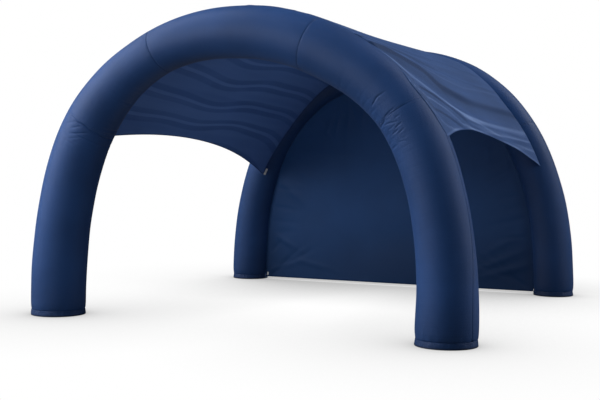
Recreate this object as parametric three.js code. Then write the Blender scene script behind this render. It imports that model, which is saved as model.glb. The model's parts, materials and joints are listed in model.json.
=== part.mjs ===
// Inflatable u-shaped tent: two air-filled arches, a roof stretched over them and a back wall
import * as THREE from 'three';

// Driving dimensions, in millimetres and degrees, +Z up and the entrance towards -Y
const HALF_SPAN = 2257;
const RISE = 3050;
const SQUARENESS = 2.3515;
const ARCH_SPACING = 4511;
const FRONT_FOOT_RADIUS = 313;
const REAR_FOOT_RADIUS = 260;
const SIDES = 24;
const JOIN = 0.3;
const SEAM_DIP = 9;
const SEAM_RUN = 34;
const CUFF_HEIGHT = 64;
const CLOTH = 2;
const ROOF_LIFT = 0.5;
const ROOF_ROWS = 20;
const ROOF_LAP = [-15, -7.5, 0];
const ROOF_SAG = 12;
const SHOULDER_SAG = 45;
const WALL_COLUMNS = 20;
const WALL_HEM = 30;
const WALL_CUFF_ROOM = 6;
const WEBBING = 3;
const STRAP_LENGTH = 104;
const STRAP_WIDTH = 28;
const TIE_WIDTH = 26;
const TIE_LENGTH = 44;

// Colours of the cloth and the webbing
const NAVY = 0x233a66;
const DEEP_NAVY = 0x1b2c4c;
const PALE_GREY = 0xc4c8cc;

// Tube radius, and how far the tube leans in from the arch line, from the right foot round to the left
const FRONT_TUBE = [
  { s: 0.0, radius: FRONT_FOOT_RADIUS, inset: 0 },
  { s: 0.125, radius: 281, inset: -46 },
  { s: 0.25, radius: 276, inset: -68 },
  { s: 0.375, radius: 278, inset: 43 },
  { s: 0.5, radius: 267, inset: 16 },
  { s: 0.625, radius: 244, inset: 9 },
  { s: 0.75, radius: 288, inset: -27 },
  { s: 0.875, radius: 304, inset: -14 },
  { s: 1.0, radius: FRONT_FOOT_RADIUS, inset: 0 },
];
const REAR_TUBE = [
  { s: 0.0, radius: REAR_FOOT_RADIUS, inset: 0 },
  { s: 0.25, radius: 242, inset: 0 },
  { s: 0.5, radius: 234, inset: 0 },
  { s: 0.75, radius: 242, inset: 0 },
  { s: 1.0, radius: REAR_FOOT_RADIUS, inset: 0 },
];

// Panels of each arch: where each one ends along the arch, and its number of rows
const FRONT_PANELS = [
  { name: 'right_leg', end: 0.259, rows: 13 },
  { name: 'right_shoulder', end: 0.398, rows: 10 },
  { name: 'crown', end: 0.609, rows: 16 },
  { name: 'left_shoulder', end: 0.743, rows: 10 },
  { name: 'left_leg', end: 1.0, rows: 13 },
];
const REAR_PANELS = [
  { name: 'right_leg', end: 0.259, rows: 13 },
  { name: 'right_shoulder', end: 0.394, rows: 10 },
  { name: 'crown', end: 0.606, rows: 16 },
  { name: 'left_shoulder', end: 0.741, rows: 10 },
  { name: 'left_leg', end: 1.0, rows: 13 },
];

// Outline of a foot cuff, from its flat underside to its top seam
const CUFF = [
  { height: 0, swell: -15 },
  { height: 5, swell: -6 },
  { height: 16, swell: 0 },
  { height: 36, swell: 3 },
  { height: 54, swell: 0 },
  { height: CUFF_HEIGHT - JOIN, swell: -SEAM_DIP },
];

// Side hems of the roof: where they meet each arch, and the depth and lean of their scallop
const RIGHT_HEM = { front: 0.2154, rear: 0.1948, scallop: 0.0244, lean: -0.0048 };
const LEFT_HEM = { front: 0.7914, rear: 0.8139, scallop: -0.0398, lean: -0.0047 };
const HEM_REACH = 0.16;

// Angle round the rear tube at which the roof's rear edge lies, by place along the arch
const REAR_SEAT = [
  { s: 0.15, angle: -63 },
  { s: 0.25, angle: -64 },
  { s: 0.3, angle: -63 },
  { s: 0.33, angle: -55 },
  { s: 0.355, angle: -48 },
  { s: 0.375, angle: -40 },
  { s: 0.4, angle: -33 },
  { s: 0.43, angle: -29 },
  { s: 0.46, angle: -37 },
  { s: 0.5, angle: -56 },
  { s: 0.54, angle: -77 },
  { s: 0.58, angle: -97 },
  { s: 0.66, angle: -124 },
  { s: 0.72, angle: -130 },
  { s: 0.82, angle: -114 },
  { s: 0.87, angle: -110 },
];

// Tension folds of the roof: a line from the front arch to the rear one, its half-width and its drop
const ROOF_FOLDS = [
  { front: 0.262, rear: 0.247, width: 0.013, drop: -22 },
  { front: 0.322, rear: 0.277, width: 0.022, drop: 42 },
  { front: 0.324, rear: 0.316, width: 0.012, drop: -18 },
  { front: 0.344, rear: 0.34, width: 0.012, drop: 12 },
  { front: 0.36, rear: 0.362, width: 0.014, drop: -10 },
  { front: 0.44, rear: 0.425, width: 0.03, drop: 8 },
  { front: 0.56, rear: 0.58, width: 0.03, drop: 9 },
  { front: 0.672, rear: 0.684, width: 0.013, drop: -11 },
  { front: 0.685, rear: 0.718, width: 0.022, drop: 30 },
  { front: 0.735, rear: 0.754, width: 0.013, drop: -13 },
];

// Soft folds of the back wall: centre, direction, half-length, half-width and depth
const WALL_FOLDS = [
  { x: -1500, z: 2050, turn: -38, length: 420, width: 110, depth: 14 },
  { x: -1650, z: 1500, turn: -20, length: 380, width: 100, depth: 12 },
  { x: -1450, z: 480, turn: 48, length: 460, width: 120, depth: 14 },
  { x: -500, z: 2500, turn: -70, length: 330, width: 120, depth: 12 },
  { x: 350, z: 2480, turn: 76, length: 360, width: 130, depth: 10 },
  { x: 1300, z: 2100, turn: 40, length: 420, width: 120, depth: 12 },
  { x: 1500, z: 420, turn: -30, length: 480, width: 110, depth: 15 },
  { x: 300, z: 700, turn: 8, length: 900, width: 240, depth: 10 },
];

const BACK = new THREE.Vector3(0, 1, 0);

// The line both arches follow, a superellipse from the right foot to the left one
class ArchLine extends THREE.Curve {
  getPoint(t, target = new THREE.Vector3()) {
    const c = Math.cos(Math.PI * t);
    const power = 2 / SQUARENESS;
    const x = HALF_SPAN * Math.sign(c) * Math.abs(c) ** power;
    const z = RISE * Math.abs(Math.sin(Math.PI * t)) ** power;
    return target.set(x, 0, z);
  }

  getOutward(t) {
    const c = Math.cos(Math.PI * t);
    const power = 2 - 2 / SQUARENESS;
    const x = Math.sign(c) * Math.abs(c) ** power / HALF_SPAN;
    const z = Math.abs(Math.sin(Math.PI * t)) ** power / RISE;
    return new THREE.Vector3(x, 0, z).normalize();
  }
}

const archLine = new ArchLine();
archLine.arcLengthDivisions = 2000;
const ARCH_LENGTH = archLine.getLength();

// A smooth function through the rows of a table, of the named columns
function through(table, ...columns) {
  const places = table.map((row) => row.s);
  const values = table.flatMap((row) => columns.map((name) => row[name]));
  return new THREE.CubicInterpolant(places, values, columns.length);
}

const frontY = -(ARCH_SPACING + REAR_FOOT_RADIUS - FRONT_FOOT_RADIUS) / 2;
const rearY = frontY + ARCH_SPACING;
const front = { y: frontY, profile: through(FRONT_TUBE, 'radius', 'inset'), panels: FRONT_PANELS };
const rear = { y: rearY, profile: through(REAR_TUBE, 'radius', 'inset'), panels: REAR_PANELS };
const rearSeat = through(REAR_SEAT, 'angle');

// The tube's cross-section at a place along an arch, in the arch's own plane
function ring(arch, s) {
  const t = archLine.getUtoTmapping(s);
  const outward = archLine.getOutward(t);
  const [radius, inset] = arch.profile.evaluate(s);
  const centre = archLine.getPoint(t).addScaledVector(outward, -inset);
  return { centre, outward, radius };
}

// A point on or above a tube: the angle runs from the arch's outer side towards the back
function onTube(arch, s, degrees, lift = 0) {
  const { centre, outward, radius } = ring(arch, s);
  const angle = THREE.MathUtils.degToRad(degrees);
  const reach = radius + lift;
  centre.y = arch.y + reach * Math.sin(angle);
  return centre.addScaledVector(outward, reach * Math.cos(angle));
}

// Panels of an arch with the places of their rings, the first and last of them on the seams
function panelsOf(arch) {
  const run = SEAM_RUN / ARCH_LENGTH;
  let start = CUFF_HEIGHT / ARCH_LENGTH;
  return arch.panels.map(({ name, end, rows }) => {
    const stop = Math.min(end, 1 - CUFF_HEIGHT / ARCH_LENGTH);
    const places = [start, start + run];
    for (let i = 1; i < rows; i += 1) places.push(THREE.MathUtils.lerp(start, stop, i / rows));
    places.push(stop - run, stop);
    start = stop;
    return { name, places };
  });
}

// Ring places that the tubes, the roof and the wall share, so that their facets lie side by side
function stations(arch) {
  return panelsOf(arch).flatMap(({ places }) => places.slice(0, -1));
}

// Moves each point of a plain geometry to its place
function bend(geometry, place) {
  const position = geometry.getAttribute('position');
  const v = new THREE.Vector3();
  for (let i = 0; i < position.count; i += 1) {
    const p = place(v.fromBufferAttribute(position, i));
    position.setXYZ(i, p.x, p.y, p.z);
  }
  geometry.computeVertexNormals();
  return geometry;
}

// A closed length of tube with one ring for each row
function tube(arch, rows) {
  const geometry = new THREE.CylinderGeometry(1, 1, 1, SIDES, rows.length - 1);
  return bend(geometry, (v) => {
    const { s, reach } = rows[Math.round((v.y + 0.5) * (rows.length - 1))];
    const { centre, outward } = ring(arch, s);
    return centre.addScaledVector(outward, reach * v.x).addScaledVector(BACK, -reach * v.z);
  });
}

// One panel of an arch, drawn in at the seam at each end
function tubePanel(arch, places) {
  const gap = JOIN / 2 / ARCH_LENGTH;
  const rows = places.map((s) => ({ s, reach: ring(arch, s).radius }));
  rows.at(0).s += gap;
  rows.at(0).reach -= SEAM_DIP;
  rows.at(-1).s -= gap;
  rows.at(-1).reach -= SEAM_DIP;
  return tube(arch, rows);
}

// A cloth sheet: its middle surface by column and row, given its thickness along the normal
function sheet(columns, rows, place) {
  const grid = [];
  for (let c = 0; c <= columns; c += 1) {
    grid.push([]);
    for (let r = 0; r <= rows; r += 1) grid[c].push(place(c, r));
  }
  const along = new THREE.Vector3();
  const across = new THREE.Vector3();
  return bend(new THREE.BoxGeometry(columns, rows, 1, columns, rows, 1), (v) => {
    const c = Math.round(v.x + columns / 2);
    const r = Math.round(v.y + rows / 2);
    along.subVectors(grid[Math.min(c + 1, columns)][r], grid[Math.max(c - 1, 0)][r]);
    across.subVectors(grid[c][Math.min(r + 1, rows)], grid[c][Math.max(r - 1, 0)]);
    const normal = along.cross(across).normalize();
    return grid[c][r].clone().addScaledVector(normal, v.z * CLOTH);
  });
}

// Roof: lapped over the front arch, then drawn straight back to the rear arch with a slight sag
function roofGeometry() {
  const margin = 0.001;
  const frontPlaces = stations(front);
  const rearPlaces = stations(rear);
  const columns = [{ front: RIGHT_HEM.front, rear: RIGHT_HEM.rear }];
  frontPlaces.forEach((s, i) => {
    const inside = s > RIGHT_HEM.front + margin && s < LEFT_HEM.front - margin;
    if (inside) columns.push({ front: s, rear: rearPlaces[i] });
  });
  columns.push({ front: LEFT_HEM.front, rear: LEFT_HEM.rear });
  const lift = ROOF_LIFT + CLOTH / 2;

  return sheet(columns.length - 1, ROOF_LAP.length - 1 + ROOF_ROWS, (c, r) => {
    const column = columns[c];
    if (r < ROOF_LAP.length) return onTube(front, column.front, ROOF_LAP[r], lift);
    const v = (r - ROOF_LAP.length + 1) / ROOF_ROWS;
    let shift = 0;
    for (const hem of [RIGHT_HEM, LEFT_HEM]) {
      const near = Math.max(0, 1 - Math.abs(column.front - hem.front) / HEM_REACH);
      shift += 4 * v * (1 - v) * (hem.scallop + hem.lean * (2 * v - 1)) * near * near;
    }
    const frontPlace = column.front + shift;
    const rearPlace = column.rear + shift;
    const [seat] = rearSeat.evaluate(rearPlace);
    const from = onTube(front, frontPlace, ROOF_LAP.at(-1), lift);
    const slant = Math.abs(Math.cos(THREE.MathUtils.degToRad(seat)));
    const to = onTube(rear, rearPlace, seat, ROOF_LIFT + slant * CLOTH / 2);
    const place = THREE.MathUtils.lerp(frontPlace, rearPlace, v);
    const outward = ring(front, frontPlace).outward.lerp(ring(rear, rearPlace).outward, v).normalize();
    const shoulder = Math.exp(-(((Math.abs(place - 0.5) - 0.2) / 0.08) ** 2));
    const swing = Math.sin(Math.PI * v);
    let drop = (ROOF_SAG + SHOULDER_SAG * shoulder) * swing * swing;
    for (const fold of ROOF_FOLDS) {
      const away = (place - THREE.MathUtils.lerp(fold.front, fold.rear, v)) / fold.width;
      drop += fold.drop * Math.exp(-away * away) * swing;
    }
    return from.lerp(to, v).addScaledVector(outward, -drop);
  });
}

// Back wall: inside the rear arch, with soft folds that die out at its edges
function wallGeometry() {
  const places = [WALL_HEM / ARCH_LENGTH, (CUFF_HEIGHT + 15) / ARCH_LENGTH];
  for (const s of stations(rear)) {
    if (s > 0.02 && s < 0.499) places.push(s);
  }
  const rows = places.length - 1;
  return sheet(WALL_COLUMNS, rows, (c, r) => {
    const room = r < 2 ? WALL_CUFF_ROOM : JOIN;
    const right = onTube(rear, places[r], 180, room);
    const left = onTube(rear, 1 - places[r], 180, room);
    const p = right.lerp(left, c / WALL_COLUMNS);
    const calm = Math.sin(Math.PI * c / WALL_COLUMNS) * Math.sin(Math.PI * r / rows);
    let depth = 0;
    for (const fold of WALL_FOLDS) {
      const turn = THREE.MathUtils.degToRad(fold.turn);
      const dx = p.x - fold.x;
      const dz = p.z - fold.z;
      const along = (dx * Math.cos(turn) + dz * Math.sin(turn)) / fold.length;
      const across = (dz * Math.cos(turn) - dx * Math.sin(turn)) / fold.width;
      depth += fold.depth * Math.exp(-along * along - across * across);
    }
    p.y += depth * Math.min(1, 3 * calm);
    return p;
  });
}

// Roof strap: short webbing along the rear tube beside the roof's rear left corner
function strapGeometry() {
  return bend(new THREE.BoxGeometry(1, 1, 1, 4, 2, 1), (v) => {
    const s = LEFT_HEM.rear + (0.95 * v.x - 0.45) * STRAP_LENGTH / ARCH_LENGTH;
    const [edge] = rearSeat.evaluate(s);
    const turn = THREE.MathUtils.radToDeg(STRAP_WIDTH / ring(rear, s).radius);
    return onTube(rear, s, edge - turn * (0.85 + v.y), WEBBING * (0.85 + v.z));
  });
}

// Wall tie: a small webbing tab on the front of the wall's lower left corner
function tieGeometry() {
  const x = -HALF_SPAN + REAR_FOOT_RADIUS + WALL_CUFF_ROOM + TIE_WIDTH;
  const y = rear.y - CLOTH / 2 - JOIN - WEBBING / 2;
  return new THREE.BoxGeometry(TIE_WIDTH, WEBBING, TIE_LENGTH).translate(x, y, WALL_HEM + TIE_LENGTH);
}

const group = new THREE.Group();
group.name = 'inflatable_u_shaped_tent';

function add(parent, name, geometry, color, roughness) {
  const material = new THREE.MeshStandardMaterial({ color, roughness, metalness: 0 });
  const mesh = new THREE.Mesh(geometry, material);
  mesh.name = name;
  parent.add(mesh);
}

// Arches, panel by panel, and their foot cuffs
for (const [side, arch] of [['front', front], ['rear', rear]]) {
  const archGroup = new THREE.Group();
  archGroup.position.y = arch.y;
  group.add(archGroup);
  for (const { name, places } of panelsOf(arch)) {
    add(archGroup, `${side}_${name}`, tubePanel(arch, places), NAVY, 0.45);
  }
  const foot = ring(arch, 0).radius;
  const right = CUFF.map(({ height, swell }) => ({ s: height / ARCH_LENGTH, reach: foot + swell }));
  const left = right.map(({ s, reach }) => ({ s: 1 - s, reach })).reverse();
  add(archGroup, `${side}_right_foot`, tube(arch, right), NAVY, 0.5);
  add(archGroup, `${side}_left_foot`, tube(arch, left), NAVY, 0.5);
}

// Cloth and webbing
add(group, 'roof', roofGeometry(), NAVY, 0.55);
add(group, 'back_wall', wallGeometry(), DEEP_NAVY, 0.6);
add(group, 'roof_strap', strapGeometry(), PALE_GREY, 0.7);
add(group, 'wall_tie', tieGeometry(), PALE_GREY, 0.7);

export default group;
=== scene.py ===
"""Inflatable u-shaped tent: the cloth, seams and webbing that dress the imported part."""

import json
import math

import bpy
import numpy as np
from mathutils import Matrix, Vector

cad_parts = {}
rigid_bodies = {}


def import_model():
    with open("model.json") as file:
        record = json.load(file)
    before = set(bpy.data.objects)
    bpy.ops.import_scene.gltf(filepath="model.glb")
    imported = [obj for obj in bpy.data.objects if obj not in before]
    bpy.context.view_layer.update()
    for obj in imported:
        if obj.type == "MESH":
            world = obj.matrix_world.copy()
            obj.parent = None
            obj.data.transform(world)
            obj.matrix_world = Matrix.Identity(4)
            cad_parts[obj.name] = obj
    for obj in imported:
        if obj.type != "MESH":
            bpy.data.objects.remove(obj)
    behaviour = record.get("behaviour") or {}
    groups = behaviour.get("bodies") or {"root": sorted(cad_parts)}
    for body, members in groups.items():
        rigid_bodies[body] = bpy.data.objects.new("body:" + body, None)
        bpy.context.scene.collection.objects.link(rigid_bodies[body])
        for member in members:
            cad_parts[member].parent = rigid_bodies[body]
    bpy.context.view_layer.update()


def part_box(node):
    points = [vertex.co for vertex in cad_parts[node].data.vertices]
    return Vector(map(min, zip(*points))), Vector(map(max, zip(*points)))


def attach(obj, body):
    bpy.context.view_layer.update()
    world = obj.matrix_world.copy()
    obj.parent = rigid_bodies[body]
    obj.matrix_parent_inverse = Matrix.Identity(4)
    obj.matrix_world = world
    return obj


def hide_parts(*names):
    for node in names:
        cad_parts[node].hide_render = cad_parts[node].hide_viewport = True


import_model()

bl_info = {
    "name": "Inflatable u-shaped tent",
    "version": (1, 0, 0),
    "blender": (4, 5, 0),
    "location": "View3D > Sidebar > Tent",
    "description": "Dresses an inflatable u-shaped tent in cloth, seams and webbing",
    "category": "Object",
}

BODY = "root"
PANELS = ("right_leg", "right_shoulder", "crown", "left_shoulder", "left_leg")

# Tube radius and inset from the arch line in metres, from the right foot (0) round to the left (1)
FRONT_TUBE = (
    (0.0, 0.306, -0.007),
    (0.125, 0.281, -0.046),
    (0.25, 0.276, -0.068),
    (0.375, 0.278, 0.043),
    (0.5, 0.267, 0.016),
    (0.625, 0.244, 0.009),
    (0.75, 0.288, -0.027),
    (0.875, 0.299, -0.009),
    (1.0, 0.306, -0.007),
)
REAR_TUBE = (
    (0.0, 0.260, 0.0),
    (0.25, 0.242, 0.0),
    (0.5, 0.234, 0.0),
    (0.75, 0.242, 0.0),
    (1.0, 0.260, 0.0),
)

# Angle and spread of a draw that goes nearly evenly round the tube
ALL_ROUND = (-90, 300)

# Seams between the panels of each arch: place, draw, half-width, and the angle and spread of the draw
FRONT_SEAMS = (
    (0.259, 0.0036, 0.008, -95, 40),
    (0.398, 0.0026, 0.007, *ALL_ROUND),
    (0.609, 0.0032, 0.006, *ALL_ROUND),
    (0.743, 0.0036, 0.008, -105, 45),
)
REAR_SEAMS = tuple((place, 0.0012, 0.008, *ALL_ROUND) for place in (0.259, 0.394, 0.606, 0.741))

# Seam over each foot cuff, and the slow narrowing above it: draw and half-width
FOOT_DRAWS = ((0.0035, 0.008), (0.0065, 0.050))

# Wrinkles on the inner side of each arch's bends: place, spread and depth
FRONT_BENDS = (
    (0.235, 0.035, 0.0014),
    (0.320, 0.050, 0.0014),
    (0.690, 0.050, 0.0012),
    (0.765, 0.030, 0.0014),
)
REAR_BENDS = ((0.250, 0.060, 0.0016), (0.750, 0.060, 0.0016))

# Cloth of the tubes: its mean radius, its unevenness, the least draw of a seam, the puckers beside it
# and the wrinkles in a bend
TUBE_RADIUS = 0.28
UNEVENNESS = 0.0010
UNEVEN_LENGTH = 0.6
LEAST_DRAW = 0.0008
PUCKER_LENGTH = 0.075
PUCKER_REACH = 0.055
PUCKER_SHARE = 0.14
WRINKLE_SIZE = (0.042, 0.42, 0.42)

# Gap between two panels at their seam, and how far their ends are tucked in behind it, ring by ring
SEAM_GAP = 0.0003
SEAM_TUCK = (0.024, 0.010)

# Mesh of the panels: sides of each tube, spacing of its rings, closer in creased cloth and by a seam
FRONT_SIDES = 144
REAR_SIDES = 112
RING_SPACING = 0.016
FINE_SPACING = 0.006
FRONT_FINE_ZONES = ((0.205, 0.295), (0.735, 0.780))
SEAM_RINGS = (0.0, 0.0012, 0.003, 0.006, 0.010, 0.016, 0.024, 0.034)

# Seeds of the unevenness of each arch, of the roof and of the back wall
FRONT_SEED = 11
REAR_SEED = 23
CUFF_SEEDS = {"right": 3, "left": 9}
ROOF_SEED = 71
WALL_SEED = 87
PULL_SEED = 131

# Creases by the front arch's seams: place and angle of each end, half-width and depth
FRONT_CREASES = (
    (0.280, -122, 0.283, -96, 0.0065, 0.0055),
    (0.283, -102, 0.282, -78, 0.0065, 0.0045),
    (0.260, -117, 0.262, -85, 0.0065, 0.0065),
    (0.255, -144, 0.258, -114, 0.0070, 0.0070),
    (0.254, -131, 0.251, -106, 0.0060, 0.0045),
    (0.251, -111, 0.248, -94, 0.0060, 0.0035),
    (0.243, -106, 0.245, -87, 0.0065, 0.0050),
    (0.239, -120, 0.240, -101, 0.0060, 0.0042),
    (0.236, -106, 0.238, -89, 0.0060, 0.0040),
    (0.229, -121, 0.226, -98, 0.0065, 0.0026),
    (0.252, -99, 0.253, -82, 0.0055, 0.0026),
    (0.246, -124, 0.246, -101, 0.0060, 0.0028),
    (0.745, -90, 0.744, -123, 0.0080, 0.0105),
    (0.744, -114, 0.750, -164, 0.0090, 0.0135),
    (0.749, -154, 0.751, -198, 0.0090, 0.0090),
    (0.756, -86, 0.745, -109, 0.0070, 0.0060),
    (0.762, -91, 0.749, -130, 0.0070, 0.0060),
    (0.768, -93, 0.758, -121, 0.0065, 0.0032),
    (0.756, -63, 0.746, -90, 0.0065, 0.0028),
)

# Outline of a foot cuff: height above the floor and swell beyond the foot's radius
CUFF_OUTLINE = (
    (0.0, -0.008),
    (0.004, -0.004),
    (0.012, -0.003),
    (0.030, -0.0035),
    (0.050, -0.006),
    (0.0637, -0.0085),
)

# Foot cuffs: mean radius, sides and ring heights of their mesh, and height of their stitches
CUFF_RADIUS = 0.3
CUFF_SIDES = 128
CUFF_RINGS = (
    *(0.0, 0.0012, 0.0025, 0.005, 0.008, 0.012),
    *np.linspace(0.016, 0.058, 12),
    *(0.0605, 0.062, 0.063, 0.0637),
)
CUFF_STITCH_HEIGHT = 0.056

# Gathers under a cuff's seam: depth, length, height and spread; and the cuff's slow unevenness
GATHER_DEPTH = 0.0014
GATHER_LENGTH = 0.06
GATHER_HEIGHT = 0.052
GATHER_SPREAD = 0.030
CUFF_UNEVENNESS = 0.0012
CUFF_UNEVEN_LENGTH = 0.4

# Stitches: their lift over a tube's cloth, and how far they lie from a seam or from a sheet's edge
STITCH_LIFT = 0.0004
SEAM_STITCH_OFFSET = 0.011
ROOF_STITCH_INSET = 0.022
WALL_STITCH_INSET = 0.026

# Side hems of the roof: where they meet each arch, and the depth and lean of their scallop
RIGHT_HEM = {"front": 0.2154, "rear": 0.1948, "scallop": 0.0244, "lean": -0.0048}
LEFT_HEM = {"front": 0.7914, "rear": 0.8139, "scallop": -0.0398, "lean": -0.0047}
HEM_REACH = 0.16
HEM_DRAW = 0.05

# Width in metres of the painted highlight along the roof's turned-up side hems, and its strength
HEM_HIGHLIGHT_WIDTH = 0.024
HEM_PAINTED_HIGHLIGHT = 0.75

# Angle round the rear tube at which the roof's rear edge lies, by place along the arch
REAR_SEAT = (
    (0.15, -63),
    (0.25, -64),
    (0.30, -63),
    (0.33, -55),
    (0.355, -48),
    (0.375, -40),
    (0.40, -33),
    (0.43, -29),
    (0.46, -37),
    (0.50, -56),
    (0.54, -77),
    (0.58, -97),
    (0.66, -124),
    (0.72, -130),
    (0.82, -114),
    (0.87, -110),
)

# Angle of the lap's edge on the front arch, by distance from the nearer foot
ROOF_LAP = (
    (0.208, -4.5),
    (0.214, -5.0),
    (0.227, -12.5),
    (0.240, -17.0),
    (0.255, -21.0),
    (0.268, -24.0),
    (0.281, -22.5),
    (0.296, -13.5),
    (0.312, -6.0),
    (0.340, -4.0),
    (0.500, -4.0),
)

# Angle of the tape that closes a front leg, by distance from its foot
LEG_TAPE = ((0.0, -16.5), (0.05, -16.5), (0.09, -9.0), (0.13, -2.0), (0.17, -2.0), (0.22, -5.0))

# Angle of the rear closing tape; lift, edge drop, thickness, mesh step and end gap of all tapes; and
# their stitches by share of the half width
REAR_TAPE = 16.0
TAPE_LIFT = 0.0006
TAPE_EDGE_DROP = 0.0004
TAPE_THICKNESS = 0.0012
TAPE_STEP = 0.02
TAPE_END_GAP = 0.004
TAPE_STITCHES = 0.72

# Broad folds of the roof: place at the front arch and at the rear one, half-width and drop
ROOF_FOLDS = (
    (0.262, 0.232, 0.013, -0.015),
    (0.300, 0.258, 0.022, 0.036),
    (0.338, 0.308, 0.013, -0.018),
    (0.350, 0.330, 0.012, 0.010),
    (0.358, 0.352, 0.014, -0.010),
    (0.440, 0.425, 0.030, 0.008),
    (0.560, 0.580, 0.030, 0.009),
    (0.672, 0.684, 0.013, -0.011),
    (0.685, 0.718, 0.022, 0.030),
    (0.735, 0.754, 0.013, -0.013),
)

# Tension folds of the roof: half-width, how far the cloth turns up (or down, if less than 0), which also
# sets a painted highlight where it turns up and painted shade where it turns down, and place by row,
# -1 at the lap's edge and 1 at the rear; two of them fork on their way back
TIGHT_FORK = ((-1, 0.326), (-0.3, 0.31), (0.01, 0.303), (0.06, 0.291), (0.14, 0.278), (0.2, 0.265))
SLACK_FORK = ((-1, 0.301), (-0.24, 0.285), (0.03, 0.269), (0.12, 0.26), (0.21, 0.249), (0.27, 0.243))
ROOF_CREASES = (
    (0.0030, -0.40, ((0, 0.367), (0.5, 0.367), (0.7, 0.365), (0.85, 0.354), (1, 0.349))),
    (0.0030, 0.42, ((0, 0.359), (0.45, 0.359), (0.6, 0.353), (0.8, 0.345), (1, 0.346))),
    (0.0032, -0.52, ((0, 0.351), (0.3, 0.351), (0.48, 0.344), (0.62, 0.327), (0.76, 0.32), (1, 0.318))),
    (0.0028, 0.62, ((0, 0.342), (0.12, 0.333), (0.27, 0.327), (0.42, 0.317), (0.6, 0.31), (1, 0.314))),
    (
        0.0055,
        -0.85,
        ((-1, 0.336), (0.04, 0.334), (0.15, 0.322), (0.25, 0.316), (0.33, 0.297), (0.55, 0.286), (1, 0.276)),
    ),
    (0.0150, -0.45, ((-1, 0.33), (0.04, 0.322), (0.15, 0.305), (0.4, 0.282), (0.65, 0.272), (1, 0.268))),
    (0.0120, 0.55, ((-1, 0.32), (0, 0.292), (0.12, 0.268), (0.3, 0.245), (1, 0.23))),
    (0.0058, 1.20, TIGHT_FORK + ((0.35, 0.253), (1, 0.248))),
    (0.0022, 0.60, TIGHT_FORK + ((0.28, 0.25), (0.45, 0.244), (0.65, 0.229), (1, 0.216))),
    (0.0021, -0.75, SLACK_FORK + ((0.32, 0.237), (0.57, 0.23), (1, 0.228))),
    (0.0019, -0.45, SLACK_FORK + ((0.57, 0.242), (1, 0.237))),
    (
        0.0022,
        0.66,
        ((-1, 0.292), (-0.8, 0.277), (-0.4, 0.265), (0.02, 0.258), (0.12, 0.248), (0.21, 0.235), (1, 0.232)),
    ),
    (0.0020, -0.70, ((-1, 0.266), (-0.45, 0.251), (0.02, 0.244), (0.1, 0.238), (0.21, 0.23), (1, 0.225))),
    (0.0024, 0.50, ((-1, 0.262), (-0.65, 0.243), (0, 0.233), (0.04, 0.227), (0.3, 0.22), (1, 0.218))),
    (0.0045, -0.25, ((-1, 0.7), (0, 0.709), (0.1, 0.73), (0.25, 0.742), (0.5, 0.75), (1, 0.75))),
    (0.0040, 0.20, ((-1, 0.715), (0, 0.726), (0.1, 0.742), (0.25, 0.753), (0.5, 0.757), (1, 0.758))),
    (0.0040, -0.20, ((-1, 0.668), (0, 0.672), (0.2, 0.683), (0.45, 0.679), (1, 0.684))),
    (0.0040, 0.18, ((-1, 0.735), (0, 0.744), (0.1, 0.762), (0.2, 0.77), (1, 0.776))),
)

# Step that a tension fold makes in the cloth where it turns up or down, and the step's slope and reach
STEP_UP = 0.12
STEP_DOWN = 0.40
STEP_SLOPE = 1.2
STEP_REACH = 2.4

# Strength of the painted highlight and shade along the folds at the lap, how much of it they lose, and the
# row by which they have lost it
LAP_PAINTED_SHADING = 1.45
PAINTED_SHADING_LOST = 0.75
LOSS_ROW = 0.6

# The roof's shoulders, its fine creases, how far each arch holds it flat, and where its lap lies flush
SHOULDER_PLACE = 0.2
SHOULDER_SPREAD = 0.08
FINE_CREASE = 0.0018
FRONT_HOLD = 0.06
REAR_HOLD = 0.05
FLUSH_PLACE = 0.285
FLUSH_RUN = 0.02

# Mesh of the roof: the place up to which its columns are closest, the number of rows behind the lap,
# and the metres from the front arch to the rear edge
FINE_PLACE = 0.37
ROOF_ROWS = 93
ROOF_RUN = 4.4

# Rows of the roof that are sewn along: two on the lap, and one at the rear edge
SEWN_ROWS = (-0.84, -0.35, 0.996)

# Soft folds of the back wall: centre, direction, half-length, half-width and depth away from the entrance
WALL_FOLDS = (
    (-1.43, 1.60, -30, 0.26, 0.060, -0.0120),
    (-1.57, 1.29, -39, 0.26, 0.060, -0.0120),
    (-1.30, 1.72, -14, 0.30, 0.045, -0.0070),
    (-0.94, 1.84, -2, 0.45, 0.040, -0.0045),
    (-0.86, 2.26, -102, 0.16, 0.032, -0.0075),
    (-0.70, 2.27, -96, 0.15, 0.032, -0.0070),
    (-1.00, 2.22, -108, 0.15, 0.034, -0.0075),
    (-0.46, 2.42, -98, 0.20, 0.040, -0.0070),
    (-1.67, 0.56, -28, 0.15, 0.040, -0.0110),
    (-1.83, 0.48, 43, 0.15, 0.034, 0.0080),
    (-1.70, 0.20, 20, 0.27, 0.038, -0.0110),
    (-1.24, 0.25, -12, 0.27, 0.040, -0.0080),
    (1.62, 0.285, 16, 0.38, 0.045, -0.0120),
    (1.53, 0.415, 24, 0.33, 0.045, -0.0110),
    (1.58, 0.645, 30, 0.28, 0.050, -0.0080),
    (1.13, 1.70, -82, 0.18, 0.040, -0.0075),
    (1.36, 1.86, -84, 0.15, 0.036, -0.0070),
    (1.61, 1.76, -80, 0.15, 0.036, -0.0070),
    (0.60, 2.40, -84, 0.24, 0.045, -0.0080),
    (0.10, 2.50, -92, 0.22, 0.045, -0.0070),
    (0.30, 0.70, 8, 0.90, 0.240, 0.0100),
)

# Short folds at the wall's lower corners: where they start near the floor, and their direction
CORNER_PULLS = ((-1.86, 42), (-1.80, 30), (1.86, 138), (1.80, 150), (1.70, 158))

# Slow unevenness of the wall, and how far its edge and its foot hold it flat
WALL_UNEVENNESS = 0.003
WALL_UNEVEN_LENGTH = 1.1
WALL_HELD = 0.11
WALL_FOOT = 0.15

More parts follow.
